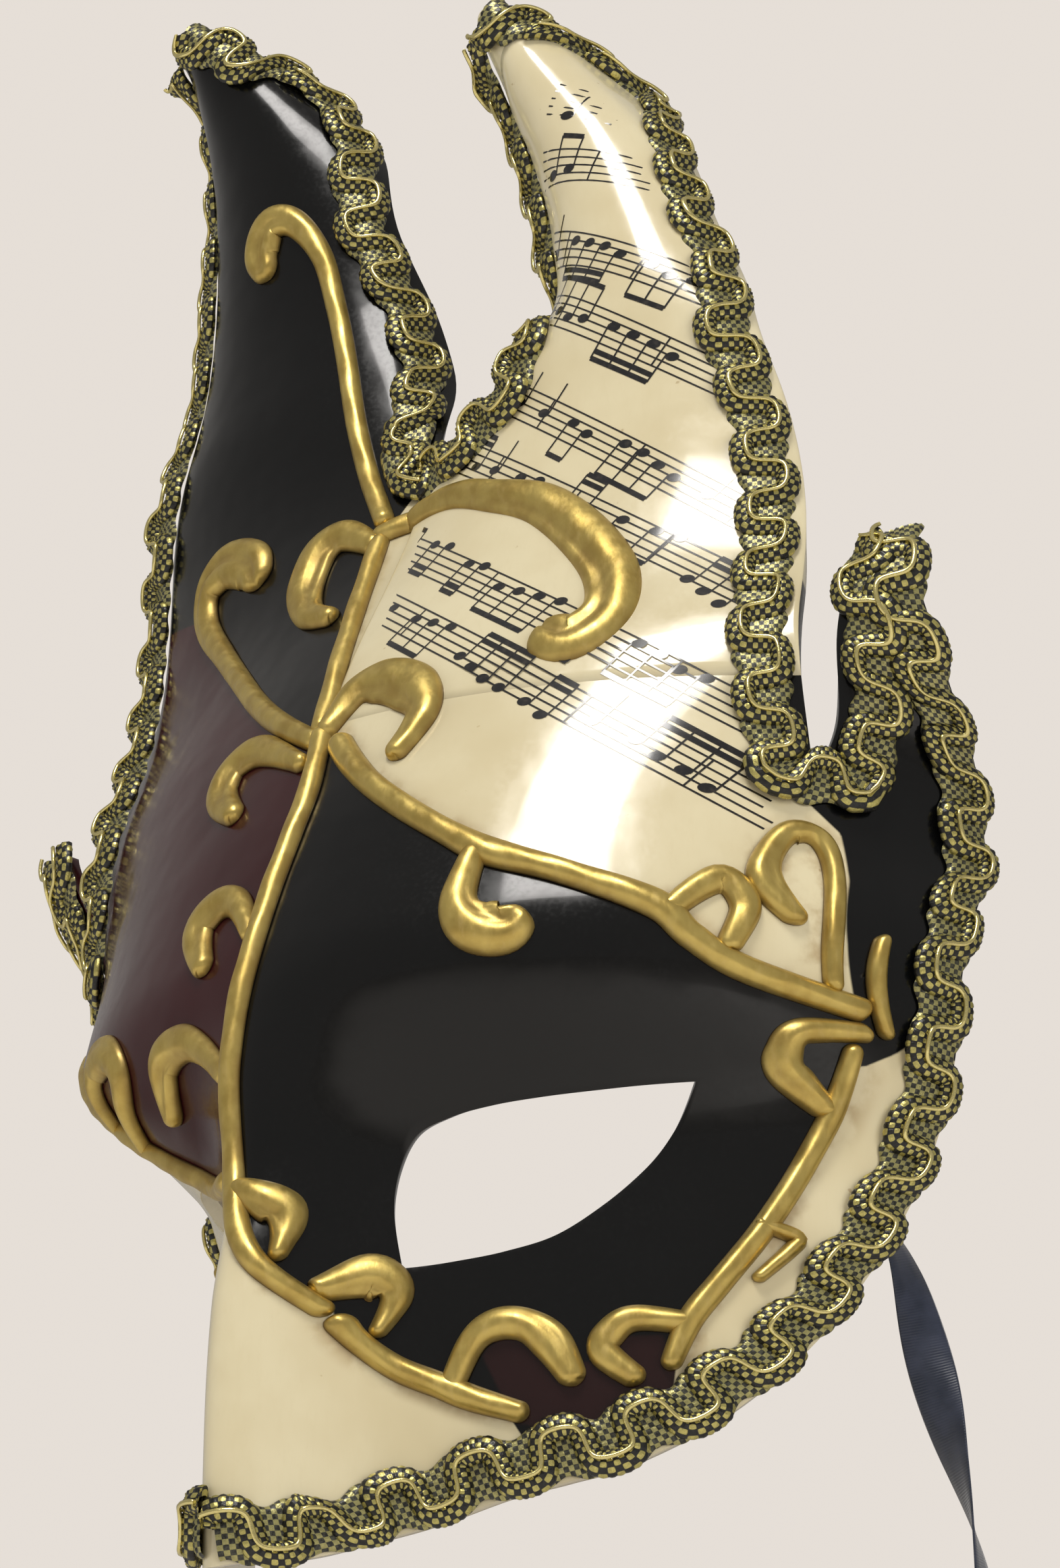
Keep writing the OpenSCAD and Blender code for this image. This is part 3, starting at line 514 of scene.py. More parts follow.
# %% Grids of the shell
brow = straight(CROWN_BASE, SIDE_VALLEY, crowd(BROW_STEPS))
foot = straight(RIM_TOP, SIDE_VALLEY, np.linspace(0, 1, HORN_FOOT_STEPS + 1))
middle = straight(CROWN_BASE, NOSE_CORNER, np.linspace(0, 1, MIDDLE_STEPS + 1))
border = np.concatenate([sampled(SIDE_RIM, RIM_STEPS), foot[1:], brow[::-1][1:], middle[1:],
                         sampled(LOWER_EDGE, LOWER_STEPS)[1:]])
upper_steps = RIM_STEPS + HORN_FOOT_STEPS + BROW_STEPS
eye = np.concatenate([curve(UPPER_LID, np.linspace(0, LID_TURN, upper_steps + 1)),
                      curve(UPPER_LID, np.linspace(LID_TURN, len(UPPER_LID) - 1, MIDDLE_STEPS + 1))[1:],
                      sampled(LOWER_LID, LOWER_STEPS)[1:]])
rings = np.linspace(0, 1, RINGS + 1)[:, None, None]
face_grid = eye[None] * (1 - rings) + border[None] * rings


def horn_grid(inner, outer):
    """Rows run across a horn from its inner to its outer edge, from the brow up to the tip."""
    a = np.concatenate([straight(CROWN_BASE, VALLEY, np.linspace(0, 1, FOREHEAD_ROWS + 1)),
                        sampled(inner, HORN_ROWS)[1:]])
    b = sampled(outer, FOREHEAD_ROWS + HORN_ROWS)
    t = crowd(BROW_STEPS)[None, :, None]
    return a[:, None] * (1 - t) + b[:, None] * t


def small_grid(inner, outer):
    """The grid of a small side horn, from its foot to its tip."""
    a, b = sampled(inner, SMALL_ROWS), sampled(outer, SMALL_ROWS)
    t = np.linspace(0, 1, HORN_FOOT_STEPS + 1)[None, :, None]
    return a[:, None] * (1 - t) + b[:, None] * t


grids = [(face_grid, False), (mirrored(face_grid), True), (horn_grid(RIGHT_IN, RIGHT_OUT), True),
         (horn_grid(LEFT_IN, LEFT_OUT), False), (small_grid(RIGHT_SMALL_IN, RIGHT_SMALL_OUT), True),
         (small_grid(LEFT_SMALL_IN, LEFT_SMALL_OUT), False)]
flat_points, quads, start = [], [], 0
for grid, turned in grids:
    made = grid_quads(grid.shape[0], grid.shape[1], at=start)
    quads.append(made if turned else made[:, ::-1])
    flat_points.append(grid.reshape(-1, 2))
    start += grid.shape[0] * grid.shape[1]
flat_points, quads = np.concatenate(flat_points), np.concatenate(quads)
first, same = np.unique(np.round(flat_points, 3), axis=0, return_index=True, return_inverse=True)[1:]
shell_xz, shell_quads = flat_points[first], same.ravel()[quads]
print("shell grid", len(shell_xz), "points", len(shell_quads), "quads")

# %% [markdown]
# The lacquer fields meet under the gold lines.  For each colour a signed distance to the border of its
# fields is kept on the points, so a material can draw a clean edge that is finer than the mesh.

# %% Colour fields
CENTRE_VINE = [[0.5, 61, 3], [1.5, 54, 3], [1, 46, 3], [0, 37, 3], [-1, 27, 3], [-2, 17, 3], [-2.5, 8, 3],
               [-2, -1, 3], [0, -9, 3], [3.5, -15.5, 3], [7.5, -19.5, 3]]
BROW_VINE = [[3.6, 61.4, 3.4], [7, 57, 3.4], [12, 51.6, 3.2], [18, 46.4, 3.2], [25, 41, 3.2], [31, 37, 3.6],
             [40, 33, 3.2], [50, 28, 3.6], [53.6, 23.6, 3.4], [58, 19.6, 3.2], [64.6, 16.6, 3]]
LOWER_VINE = [[10, -21.8, 4], [12, -25, 3.2], [15.5, -28.3, 3], [20, -30.6, 3], [24, -32.6, 3],
              [27.6, -34, 2.4]]
CHEEK_VINE = [[64.4, 8.4, 2.5], [62.4, 3.6, 3], [59.8, -2, 3], [57.2, -8, 3], [54.4, -13.6, 3],
              [50.8, -19.4, 3], [47.8, -24.2, 3], [46.6, -27.4, 2.4]]
FOREHEAD_STEM = [[-0.6, 66.6, 3], [-1.6, 75, 3], [-3, 84, 3], [-4.4, 93, 3], [-5, 100.6, 3]]
LEFT_BRANCH = [[-2.6, 63.8, 3], [-9, 68.2, 3.2], [-17, 74.8, 3.2], [-25, 82.6, 3.2], [-34, 92, 3.4],
               [-41, 100.4, 4], [-42, 107, 4.6], [-37, 110, 5.4], [-31, 107.6, 5.6], [-28.6, 103, 4]]
LEFT_BROW_VINE = [[-5, -2.4, 3], [-13, 0, 3], [-21, 4.4, 3], [-29, 9, 3], [-38, 14.6, 3], [-47, 20.6, 3],
                  [-55, 27, 3], [-61, 33.6, 2.6]]
HEART = [[65.4, 20.6, 2.6], [66, 27, 2.8], [65.6, 34, 2.8], [64.2, 38.6, 3], [61.6, 39.2, 3.2],
         [60, 35.6, 3.6], [60.2, 31.4, 4], [61.8, 28.6, 3]]
EYE_SIDE = [[68, 14.6], [70.6, 12.6], [68.6, 10.6], [66, 8.8]]
EYE_FOOT = [[45, -40], [31, -40]]
SMALL_HORN_FIELD = [[66.6, 16], [67, 24], [67, 33], [66, 40], [62, 46], [60, 60], [66, 100], [95, 100],
                    [95, 8], [71, 11]]
LEFT_HORN_FIELD = [[-46, 104], [-60, 108], [-90, 112], [-90, 230], [-8, 230], [-8.6, 164.5], [10, 162],
                   [10, 121], [-2, 112], [-5, 104]]
LEFT_BROW_SIDE = [[-70, 40], [-100, 30], [-100, 125], [-60, 113], [-44, 108]]
LOWER_ARCHES = [[25, -27], [28, -25], [31, -25.6], [34, -29], [39, -29], [41, -26], [45, -26],
                [47, -30], [45, -36], [36, -38], [29, -36]]
MAROON_TO = 24  # points of the centre line that the maroon field runs beside


def drawn(points, n):
    """A scroll's centre line as a list of n + 1 [x, z] points, without its widths."""
    return [list(p) for p in sampled([p[:2] for p in points], n)]


def inside_distance(points, polygon):
    """Signed distance to a polygon, positive inside, by the nearest edge and the crossing rule."""
    poly = np.array(polygon, float)
    a, b = poly, np.roll(poly, -1, 0)
    best, inside = np.full(len(points), 1e9), np.zeros(len(points), bool)
    for p, q in zip(a, b):
        d = q - p
        t = np.clip(((points - p) @ d) / max(d @ d, 1e-9), 0, 1)
        best = np.minimum(best, np.linalg.norm(points - p - t[:, None] * d, axis=1))
        cross = (p[1] > points[:, 1]) != (q[1] > points[:, 1])
        with np.errstate(divide="ignore", invalid="ignore"):
            at = p[0] + (points[:, 1] - p[1]) * d[0] / (d[1] if d[1] else 1e-9)
        inside ^= cross & (points[:, 0] < at)
    return np.where(inside, best, -best)


centre, brow_line = drawn(CENTRE_VINE, 40), drawn(BROW_VINE, 40)
lower_line, cheek_line = drawn(LOWER_VINE, 20), drawn(CHEEK_VINE, 30)
left_brow, branch = drawn(LEFT_BROW_VINE, 30), drawn(LEFT_BRANCH[:7], 30)
stem, heart = drawn(FOREHEAD_STEM, 20), drawn(HEART, 30)
eye_panel = (brow_line + EYE_SIDE + cheek_line + EYE_FOOT + lower_line[::-1] + [[10, -20.6]]
             + centre[::-1])
black_fields = [eye_panel, SMALL_HORN_FIELD, branch + LEFT_HORN_FIELD + stem[::-1]]
maroon_field = left_brow + LEFT_BROW_SIDE + branch[::-1] + centre[:MAROON_TO]
black = np.max([inside_distance(shell_xz, f) for f in black_fields], axis=0)
maroon = inside_distance(shell_xz, maroon_field)
arch = inside_distance(shell_xz, LOWER_ARCHES)
gold_lines = np.concatenate([np.array(v) for v in (centre, brow_line, lower_line, cheek_line, stem, heart)])
near_gold = np.min(np.linalg.norm(shell_xz[:, None] - gold_lines[None], axis=2), axis=1)
shares = [round(float((field > 0).mean()), 2) for field in (black, maroon)]
print("black and maroon shares", shares)

# %% [markdown]
# The lacquer is gloss paint under varnish: black, maroon and an aged ivory with yellow-brown stains
# that gather beside the gold lines.  A slow noise in the bump gives the faint waves of hand-laid varnish.

# %% Lacquer
IVORY, IVORY_WARM, STAIN = (0.65, 0.58, 0.385), (0.58, 0.5, 0.31), (0.3, 0.19, 0.07)
IVORY_GLOSS, DARK_GLOSS = 0.45, 0.25


def ivory_paint(r):
    """Ivory with broad warm clouds, faint fibres and small brown specks."""
    clouds = r.span(r.noise(r.place(0.045), 4.0), 0.35, 0.7)
    fibres = r.span(r.noise(r.place((0.9, 0.9, 0.25)), 5.0, rough=0.65), 0.45, 0.75)
    base = r.mix(clouds, IVORY, IVORY_WARM)
    base = r.mix(r.math("MULTIPLY", fibres, 0.25), base, IVORY_WARM)
    specks = r.span(r.noise(r.place(0.6), 2.0), 0.74, 0.8)
    return r.mix(r.math("MULTIPLY", specks, 0.5), base, STAIN)


def varnished(r, paint, gloss):
    """Old gloss varnish over a paint, with slow waves, fine grain and dust; gloss is its strength."""
    dust = r.noise(r.place(1.6), 2.0)
    waves = r.bump(r.noise(r.place(0.07), 2.0), 0.5, 1.1)
    grain = r.bump(r.noise(r.place(0.8), 3.0), 0.1, 0.05, under=waves)
    return r.finish(Base_Color=paint, Roughness=r.span(dust, 0.4, 0.75, 0.18, 0.26),
                    Specular_IOR_Level=gloss, Coat_Weight=gloss, Coat_Roughness=0.07, Normal=grain)


r = Recipe("lacquer")
ivory = ivory_paint(r)
edge_stain = r.math("MULTIPLY", r.span(r.field("near_gold"), 1.2, 3.6, 1.0, 0.0),
                    r.span(r.noise(r.place(0.22), 4.0), 0.42, 0.68))
ivory = r.mix(r.math("MULTIPLY", edge_stain, 0.6), ivory, STAIN)
cloud = r.noise(r.place(0.05), 3.0)
maroon_paint = r.mix(cloud, (0.022, 0.003, 0.004), (0.036, 0.005, 0.007))
black_paint = r.mix(cloud, (0.0015, 0.0018, 0.002), (0.004, 0.004, 0.004))
arch_paint = r.mix(cloud, (0.012, 0.005, 0.005), (0.02, 0.007, 0.007))
is_maroon = r.span(r.field("maroon"), -0.12, 0.12)
is_black = r.span(r.field("black"), -0.12, 0.12)
is_arch = r.span(r.field("arch"), -0.3, 0.3)
paint = r.mix(is_maroon, ivory, maroon_paint)
paint = r.mix(is_black, paint, r.mix(is_arch, black_paint, arch_paint))
light_paint = r.math("SUBTRACT", 1.0, r.math("MAXIMUM", is_maroon, is_black))
lacquer = varnished(r, paint, r.math("MULTIPLY_ADD", light_paint, IVORY_GLOSS - DARK_GLOSS, DARK_GLOSS))

r = Recipe("bare_pulp")
clouds = r.noise(r.place(0.06), 4.0)
pulp = r.noise(r.place((0.5, 0.5, 1.4)), 6.0, rough=0.7)
r.finish(Base_Color=r.mix(clouds, (0.72, 0.67, 0.56), (0.8, 0.76, 0.66)),
         Roughness=r.span(pulp, 0.3, 0.7, 0.55, 0.8), Normal=r.bump(pulp, 0.35, 0.25))
bare_pulp = r.material

# %% Shell
shell = make_piece("mask_shell", on_skin(shell_xz[:, 0], shell_xz[:, 1]), shell_quads,
                   [lacquer, bare_pulp], ["shell"], "shell_lacquer",
                   black=black, maroon=maroon, arch=arch, near_gold=near_gold)
wall = shell.modifiers.new("wall", "SOLIDIFY")
wall.thickness = SHELL_T * MM
wall.offset = -1
wall.material_offset = 1
wall.material_offset_rim = 0
soft = shell.modifiers.new("soft_edges", "BEVEL")
soft.width = SOFT_EDGE * MM
soft.segments = 2
soft.limit_method = "ANGLE"
soft.angle_limit = math.radians(55)
print("shell", triangles(shell), "triangles before its wall")

# %% [markdown]
# ## The score paper
# A sheet of old printed music is pasted over the right horn and the forehead and varnished with the
# rest.  The paper follows the horn's grid and thins out to almost nothing at its border, where the
# paste and varnish hide the step.  The music on it is made up: staves, bar lines and notes placed by rule.

# %% Paper
PAPER_TOP, PAPER_EDGE, SHEET_T = 0.42, 0.03, 0.25
paper_grid = horn_grid(RIGHT_IN, RIGHT_OUT)[8:-8]
n_rows, n_cols = paper_grid.shape[:2]
from_edge = np.minimum.outer(np.minimum(np.arange(n_rows), np.arange(n_rows)[::-1]) * 1.2,
                             np.minimum(np.arange(n_cols), np.arange(n_cols)[::-1]) * 0.8)
paper_h = PAPER_EDGE + (PAPER_TOP - PAPER_EDGE) * ease(0, 4, from_edge)
r = Recipe("printed_paper")
printed_paper = varnished(r, ivory_paint(r), IVORY_GLOSS)
paper = make_piece("score_paper_sheet", on_skin(paper_grid[..., 0], paper_grid[..., 1], paper_h),
                   grid_quads(n_rows, n_cols), [printed_paper], ["score_paper"], "score_paper")
sheet_wall = paper.modifiers.new("sheet", "SOLIDIFY")
sheet_wall.thickness = SHEET_T * MM
sheet_wall.offset = -1
print("paper", triangles(paper), "triangles")

# %% Staves
INK_LIFT, INK_MARGIN = 0.06, 1.2
STAVE_GAP = 1.22
LINE_W = 0.25
STAVES = [((28, 167.4), (37, 163.2)), ((24, 158), (46, 148.6)), ((22, 146.4), (54, 125.6)),
          ((22, 135.4), (57, 109)), ((18, 120), (60, 85.8)), ((8, 114), (62, 72.4)),
          ((-3.4, 102.2), (62.6, 53)), ((2, 86.8), (62.6, 40.4))]
HEAD_L, HEAD_H, STEM_L, STEM_W, BEAM_W = 2.0, 1.45, 5.4, 0.27, 0.8
sides_and_top = [paper_grid[:, 0], paper_grid[-1], paper_grid[::-1, -1]]
paper_border = np.concatenate(sides_and_top + [paper_grid[0, ::-1]])
print_border = np.concatenate([[[0.5, 64]]] + sides_and_top + [[[62.6, 46], [61.6, 36]]])
rng = np.random.default_rng(7)
ink_points, ink_quads, ink_at = [], [], 0


def ink(shape_xz):
    """Adds a thin quad strip of ink, an (n, 2, 2) array of left and right borders, kept to the paper."""
    global ink_at
    p = np.asarray(shape_xz, float)
    p = p[inside_distance(p.mean(axis=1), print_border) > INK_MARGIN]
    if len(p) < 2:
        return
    flat = p.reshape(-1, 2)
    height = INK_LIFT + PAPER_TOP * ease(-1, 5, inside_distance(flat, paper_border))
    ink_points.append(on_skin(flat[:, 0], flat[:, 1], height))
    ink_quads.append(grid_quads(p.shape[0], 2, at=ink_at)[:, ::-1])
    ink_at += p.shape[0] * 2


def bar(a, b, width, n, up):
    """A straight inked bar from a to b in n points, its width along up."""
    t = np.linspace(0, 1, n)[:, None]
    mid = a * (1 - t) + b * t
    ink(np.stack([mid - up * width / 2, mid + up * width / 2], 1))


def note_head(at, tilt):
    """An ellipse leaning along the stave, as a strip between its lower and upper halves."""
    t = np.linspace(0, math.pi, 9)
    x, y = HEAD_L / 2 * np.cos(t), HEAD_H / 2 * np.sin(t)
    c, s = math.cos(tilt), math.sin(tilt)
    upper = np.stack([x * c - y * s, x * s + y * c], -1)
    lower = np.stack([x * c + y * s, x * s - y * c], -1)
    ink(np.stack([lower + at, upper + at], 1)[::-1])


for k, (a, b) in enumerate(STAVES):
    a, b = np.array(a, float), np.array(b, float)
    length = np.linalg.norm(b - a)
    d = (b - a) / length
    up = np.array([-d[1], d[0]])
    for i in range(5):
        shift = up * STAVE_GAP * (i - 2)
        bar(a + shift, b + shift, LINE_W, max(3, int(length / 2)), up)
    for s in np.arange(rng.uniform(6, 12), length - 3, rng.uniform(15, 20)):
        p = a + d * s
        bar(p - up * STAVE_GAP * 2, p + up * STAVE_GAP * 2, STEM_W, 3, d)
    s = rng.uniform(2.5, 4)
    while s < length - 4:
        group = int(rng.choice([1, 2, 3, 4], p=[0.25, 0.35, 0.2, 0.2]))
        pitch = rng.integers(-3, 4) + np.cumsum(rng.integers(-1, 2, group))
        step = rng.uniform(3.1, 4.0)
        side = -1 if pitch.mean() > 0 else 1
        heads = [a + d * (s + j * step) + up * STAVE_GAP / 2 * pitch[j] for j in range(group)]
        if s + group * step > length - 2:
            break
        ends = []
        for j, head in enumerate(heads):
            note_head(head, math.atan2(d[1], d[0]) + 0.35)
            root = head + d * side * HEAD_L * 0.44
            ends.append(a + d * ((root - a) @ d) + up * (STAVE_GAP / 2 * pitch.mean() + side * STEM_L))
            bar(root, ends[-1], STEM_W, 4, d)
        if group > 1:
            bar(ends[0], ends[-1], BEAM_W, 2 * group, up)
            if rng.random() < 0.45:
                bar(ends[0] - up * side * 1.2, ends[-1] - up * side * 1.2, BEAM_W, 2 * group, up)
        s += group * step + rng.uniform(1.5, 3.5)

r = Recipe("print_ink")
worn = r.noise(r.place(1.1), 3.0)
r.finish(Base_Color=r.mix(r.span(worn, 0.45, 0.8), (0.006, 0.006, 0.007), (0.03, 0.026, 0.022)),
         Roughness=0.16, Coat_Weight=0.6, Coat_Roughness=0.06)
score_print = make_piece("score_print", np.concatenate(ink_points), np.concatenate(ink_quads),
                         [r.material], slot="score_paper")
print("print", triangles(score_print), "triangles")

# %% [markdown]
# ## Gold relief
# The scrolls are piped on in a thick paste, like icing, and gilded: a line with a rounded back that
# swells into a comma-shaped dollop.  Each is a profile carried along its own centre line.  The profile
# is a dome, (1 - |w|^2.4)^0.6, cut by a soft groove that swings from the inner side to the middle
# towards the dollop, which gives the swirl.

# %% Gilding
r = Recipe("gilding")
depth = r.field("depth")
patch = r.noise(r.place(0.25), 4.0)
streak = r.noise(r.place((0.9, 0.9, 0.4)), 4.0, rough=0.6)
gold = r.mix(r.span(patch, 0.35, 0.7), (0.66, 0.5, 0.15), (0.52, 0.37, 0.1))
gold = r.mix(r.math("MULTIPLY", r.span(streak, 0.5, 0.75), 0.3), gold, (0.72, 0.56, 0.24))
# Painted shade: where the depth field is high, on the flanks of each line and in its groove, the gold turns
# dark brown and less metallic.
painted_recess_shade = r.math("MULTIPLY", depth, r.span(patch, 0.2, 0.6, 0.55, 1.0))
gold = r.mix(painted_recess_shade, gold, (0.13, 0.07, 0.02))
r.finish(Base_Color=gold, Metallic=r.math("SUBTRACT", 0.88, r.math("MULTIPLY", painted_recess_shade, 0.5)),
         Roughness=r.span(streak, 0.3, 0.7, 0.3, 0.46), Normal=r.bump(streak, 0.25, 0.12))
gilding = r.material

# %% Scroll lines
SCROLLS = {
    "scroll_centre_vine": CENTRE_VINE,
    "scroll_nose_leaf": [[11, -17.6, 3], [12.5, -16.8, 4.5], [14.6, -17.6, 4.5], [15.4, -19.6, 3.5],
                         [14.6, -21.5, 2]],
    "scroll_bridge_bud": [[1.6, -6, 2.5], [4, -7.4, 4.5], [5.6, -9.8, 4], [5.4, -12, 2]],
    "scroll_lower_vine": LOWER_VINE,
    "scroll_lower_arch_inner": [[22.6, -28.6, 3], [24, -25.6, 3.2], [27, -23.6, 3.5], [30.5, -24, 3.6],
                                [33.4, -26.6, 4], [34.6, -29, 3]],
    "scroll_lower_arch_outer": [[45, -24.2, 2.6], [42.4, -23.8, 3], [39.8, -25.4, 3.4], [39, -28, 3.4],
                                [40.6, -29.6, 2.8]],
    "scroll_cheek_vine": CHEEK_VINE,
    "scroll_cheek_leaf": [[57, -13.2, 1.6], [57.8, -13.6, 2], [57.3, -15.2, 2], [56, -16.8, 1.6]],
    "scroll_temple_curl": [[64, 12.6, 2.5], [61.5, 12.4, 3.4], [59.5, 10, 4], [59.2, 7.2, 4.4],
                           [60.4, 5, 3]],
    "scroll_heart": HEART,
    "scroll_side_spray": [[68.4, 15.4, 2.2], [68.6, 19, 2.6], [69.2, 22.4, 2.2]],
    "scroll_brow_vine": BROW_VINE,
    "scroll_brow_curl_inner": [[29.2, 34.6, 3], [28.6, 30, 4], [30.6, 26.2, 5], [34.4, 25.4, 5],
                               [36.6, 27.6, 3.6]],
    "scroll_brow_curl_outer": [[53.4, 28.8, 3], [56, 31.6, 3.6], [58.6, 27.6, 3.6], [57.6, 24.6, 3]],
    "scroll_forehead_leaf": [[2, 65.6, 3], [4, 69.4, 4.4], [9, 70.2, 5.6], [14.4, 67, 5.4],
                             [17, 62, 4], [15.4, 57.8, 3]],
    "scroll_forehead_stem": FOREHEAD_STEM,
    "scroll_forehead_spiral": [[-3.4, 104.6, 3], [2, 106, 3.6], [10, 105.4, 4], [18, 102, 4.4],
                               [26, 98, 5], [33, 91, 5.4], [38.4, 82.6, 5.6], [39.4, 75.4, 5.4],
                               [35.4, 71, 5.6], [31, 74, 6]],
    "scroll_horn": [[-6.4, 109, 3], [-9.6, 116, 3], [-12.6, 126, 3], [-15, 138, 3], [-17.4, 150, 3],
                    [-19.6, 160, 3.2], [-23.6, 166.6, 3.8], [-28, 167.6, 4.6], [-30.4, 163, 4.8],
                    [-29, 158.6, 3.4]],
    "scroll_horn_curl": [[-7.6, 103.4, 3], [-11.6, 106, 4.4], [-16, 104, 5], [-17, 97.6, 5],
                         [-14, 91.6, 4], [-10.6, 90, 3]],
    "scroll_left_branch": LEFT_BRANCH,
    "scroll_left_curl_high": [[-3.6, 60, 2.6], [-8, 62.8, 3.6], [-13, 65, 4.4], [-17.6, 63.6, 4.6],
                              [-18, 58.6, 4.4], [-14.6, 55.4, 3]],
    "scroll_left_curl_middle": [[-3, 32.6, 2.6], [-6, 36.8, 3.6], [-10.4, 37.6, 4.6], [-13, 34, 4.4],
                                [-11, 30, 3]],
    "scroll_left_curl_low": [[-5, 12.4, 2.6], [-9.6, 16.4, 3.4], [-15, 19, 4.2], [-20, 17.4, 4.4],
                             [-20.4, 13.4, 3]],
    "scroll_left_brow_vine": LEFT_BROW_VINE,
    "scroll_left_brow_curl": [[-32.6, 14.6, 2.6], [-31.4, 19.4, 3.6], [-35, 23.4, 4.4], [-40, 23, 4.4],
                              [-41, 20, 3]],
    "scroll_left_cheek_vine": mirrored(CHEEK_VINE),
    "scroll_left_lower_vine": mirrored(LOWER_VINE),
}
REACH, REACH_BELOW = 3.2, 3.3
RELIEF_H, RELIEF_STEP, SUNK = 2.2, 0.45, 0.05
PASTE_LIFT = 0.12


def lengthened(points):
    """A scroll's points, its slender ends drawn out by REACH mm so that neighbours run together."""
    p = np.array(points, float)
    for end, before in ((0, 1), (-1, -2)):
        d = p[end, :2] - p[before, :2]
        if p[end, 2] < REACH_BELOW:
            p[end, :2] += d / np.linalg.norm(d) * REACH
    return p


def frame_along(xz):
    """Unit direction to the right of a line of [x, z] points."""
    d = np.gradient(xz, axis=0)
    d /= np.linalg.norm(d, axis=1, keepdims=True)
    return np.stack([d[:, 1], -d[:, 0]], -1)


def relief(name, points):
    """A gilded scroll: the dome profile laid on the surface, with a round cap at each end."""
    dense = sampled(lengthened(points), 40 * len(points))
    where = on_skin(dense[:, 0], dense[:, 1])
    far = np.concatenate([[0], np.cumsum(np.linalg.norm(np.diff(where, axis=0), axis=1))])
    cap = 0.5 * np.array([dense[0, 2], dense[-1, 2]]) / far[-1]
    rounding = (1 - np.cos(np.linspace(0, 1.5, 8))) * 0.9
    even = np.linspace(0, 1, max(24, int(far[-1] / RELIEF_STEP)))
    t = np.unique(np.round(np.concatenate([even, cap[0] * rounding, 1 - cap[1] * rounding]), 5))
    x, z, width = (np.interp(t * far[-1], far, dense[:, k]) for k in range(3))
    ends = np.minimum(np.clip(t / cap[0], 0, 1), np.clip((1 - t) / cap[1], 0, 1))
    round_off = np.sqrt(np.clip(1 - (1 - ends) ** 2, 0.0025, 1))
    half = (1.12 + 0.16 * np.clip(width - 3, 0, 2.4)) * width / 2 * round_off
    right = frame_along(np.stack([x, z], -1))
    w = np.sin(np.linspace(-math.pi / 2, math.pi / 2, 15))
    px, pz = walk(x[:, None] + 0 * w, z[:, None] + 0 * w, right[:, :1], right[:, 1:], half[:, None] * w[None])
    turning = np.gradient(right[:, 0]) * np.gradient(z) - np.gradient(right[:, 1]) * np.gradient(x)
    bend = np.sign(np.sum(turning))
    swell = np.clip((width - 3.2) / 1.6, 0, 1)[:, None]
    groove = np.exp(-(((w[None] - bend * (0.55 - 0.5 * ease(0.55, 1, t))[:, None]) / 0.24) ** 2))
    dome = np.clip(1 - abs(w[None]) ** 2.4, 0, 1) ** 0.6
    slow = np.sin(0.9 * x + 0.7 * z)[:, None]
    lumps = 0.03 * slow + 0.03 * np.sin((0.5 * z - 0.8 * x)[:, None] + 3 * w[None])
    top = RELIEF_H * (0.82 + 0.09 * np.clip(width[:, None] - 3, 0, 3)) * round_off[:, None] ** 0.7
    h = top * dome * (1 + lumps - 0.42 * groove * swell) - SUNK
    skin = on_skin(px, pz, h + PASTE_LIFT)
    # depth holds painted shade: 0 on the crest of the dome, rising towards its flanks and in the swirl
    # groove.
    depth = np.clip(1 - dome * 1.25, 0, 1) ** 1.2 * 0.9 + 0.45 * groove * swell
    rows, cols = skin.shape[:2]
    caps = [range(cols), range((rows - 1) * cols, rows * cols)[::-1]]
    return make_piece(name + "_relief", skin, grid_quads(rows, cols, True)[:, ::-1], [gilding], [name],
                      "gold_relief", depth=depth, caps=caps)


total = sum(triangles(relief(name, points)) for name, points in SCROLLS.items())
print("scrolls", len(SCROLLS), "pieces", total, "triangles")

# %% [markdown]
# ## Gimp braid
# Scroll gimp is a narrow trimming: a knitted band of black and metallic gold thread winds from side to
# side over a woven ground, and a fine gold wire lies on it in a smaller wave.  Everything is first laid
# out flat, s along the braid and v across it, and then wrapped on to the shell.  The winding is
# s = P/2pi (f - b sin 2f), v = A (sin f + 0.06 sin 3f), whose lobes are rounder than a sine's.

# %% Braid threads
def stitched(name, dark, bright, worn, metal, share):
    """Round knots of metal thread, where sin(pi u) sin(pi v) passes share, on dark and worn thread."""
    r = Recipe(name)
    cells = r.node("ShaderNodeSeparateXYZ")
    r.put(cells.inputs[0], r.place(math.pi, uv=True))
    knots = r.math("MULTIPLY", r.math("SINE", cells.outputs[0]), r.math("SINE", cells.outputs[1]))
    is_gold = r.span(knots, share, share + 0.22)
    fray = r.span(r.noise(r.place(2.2), 3.0), 0.35, 0.68)
    amount = r.math("MULTIPLY", is_gold, r.math("MULTIPLY_ADD", fray, 0.25, 0.75))
    thread = r.mix(fray, dark, worn)
    twist = r.noise(r.place(5.0), 2.0)
    r.finish(Base_Color=r.mix(amount, thread, r.mix(twist, bright, tuple(0.72 * c for c in bright))),
             Metallic=r.math("MULTIPLY", amount, metal), Roughness=r.span(twist, 0.3, 0.7, 0.26, 0.42),
             Normal=r.bump(twist, 0.5, 0.1))
    return r.material


band_thread = stitched("band_thread", (0.004, 0.004, 0.004), (0.72, 0.64, 0.22), (0.012, 0.012, 0.01),
                       0.95, 0.0)
ground_thread = stitched("ground_thread", (0.006, 0.006, 0.005), (0.52, 0.48, 0.2), (0.05, 0.05, 0.035),
                         0.8, -0.1)
r = Recipe("gold_wire")
twist = r.noise(r.place(3.0), 2.0)
r.finish(Base_Color=r.mix(twist, (0.9, 0.8, 0.36), (0.7, 0.6, 0.24)), Metallic=0.95, Roughness=0.24,
         Normal=r.bump(twist, 0.4, 0.06))
gold_wire = r.material

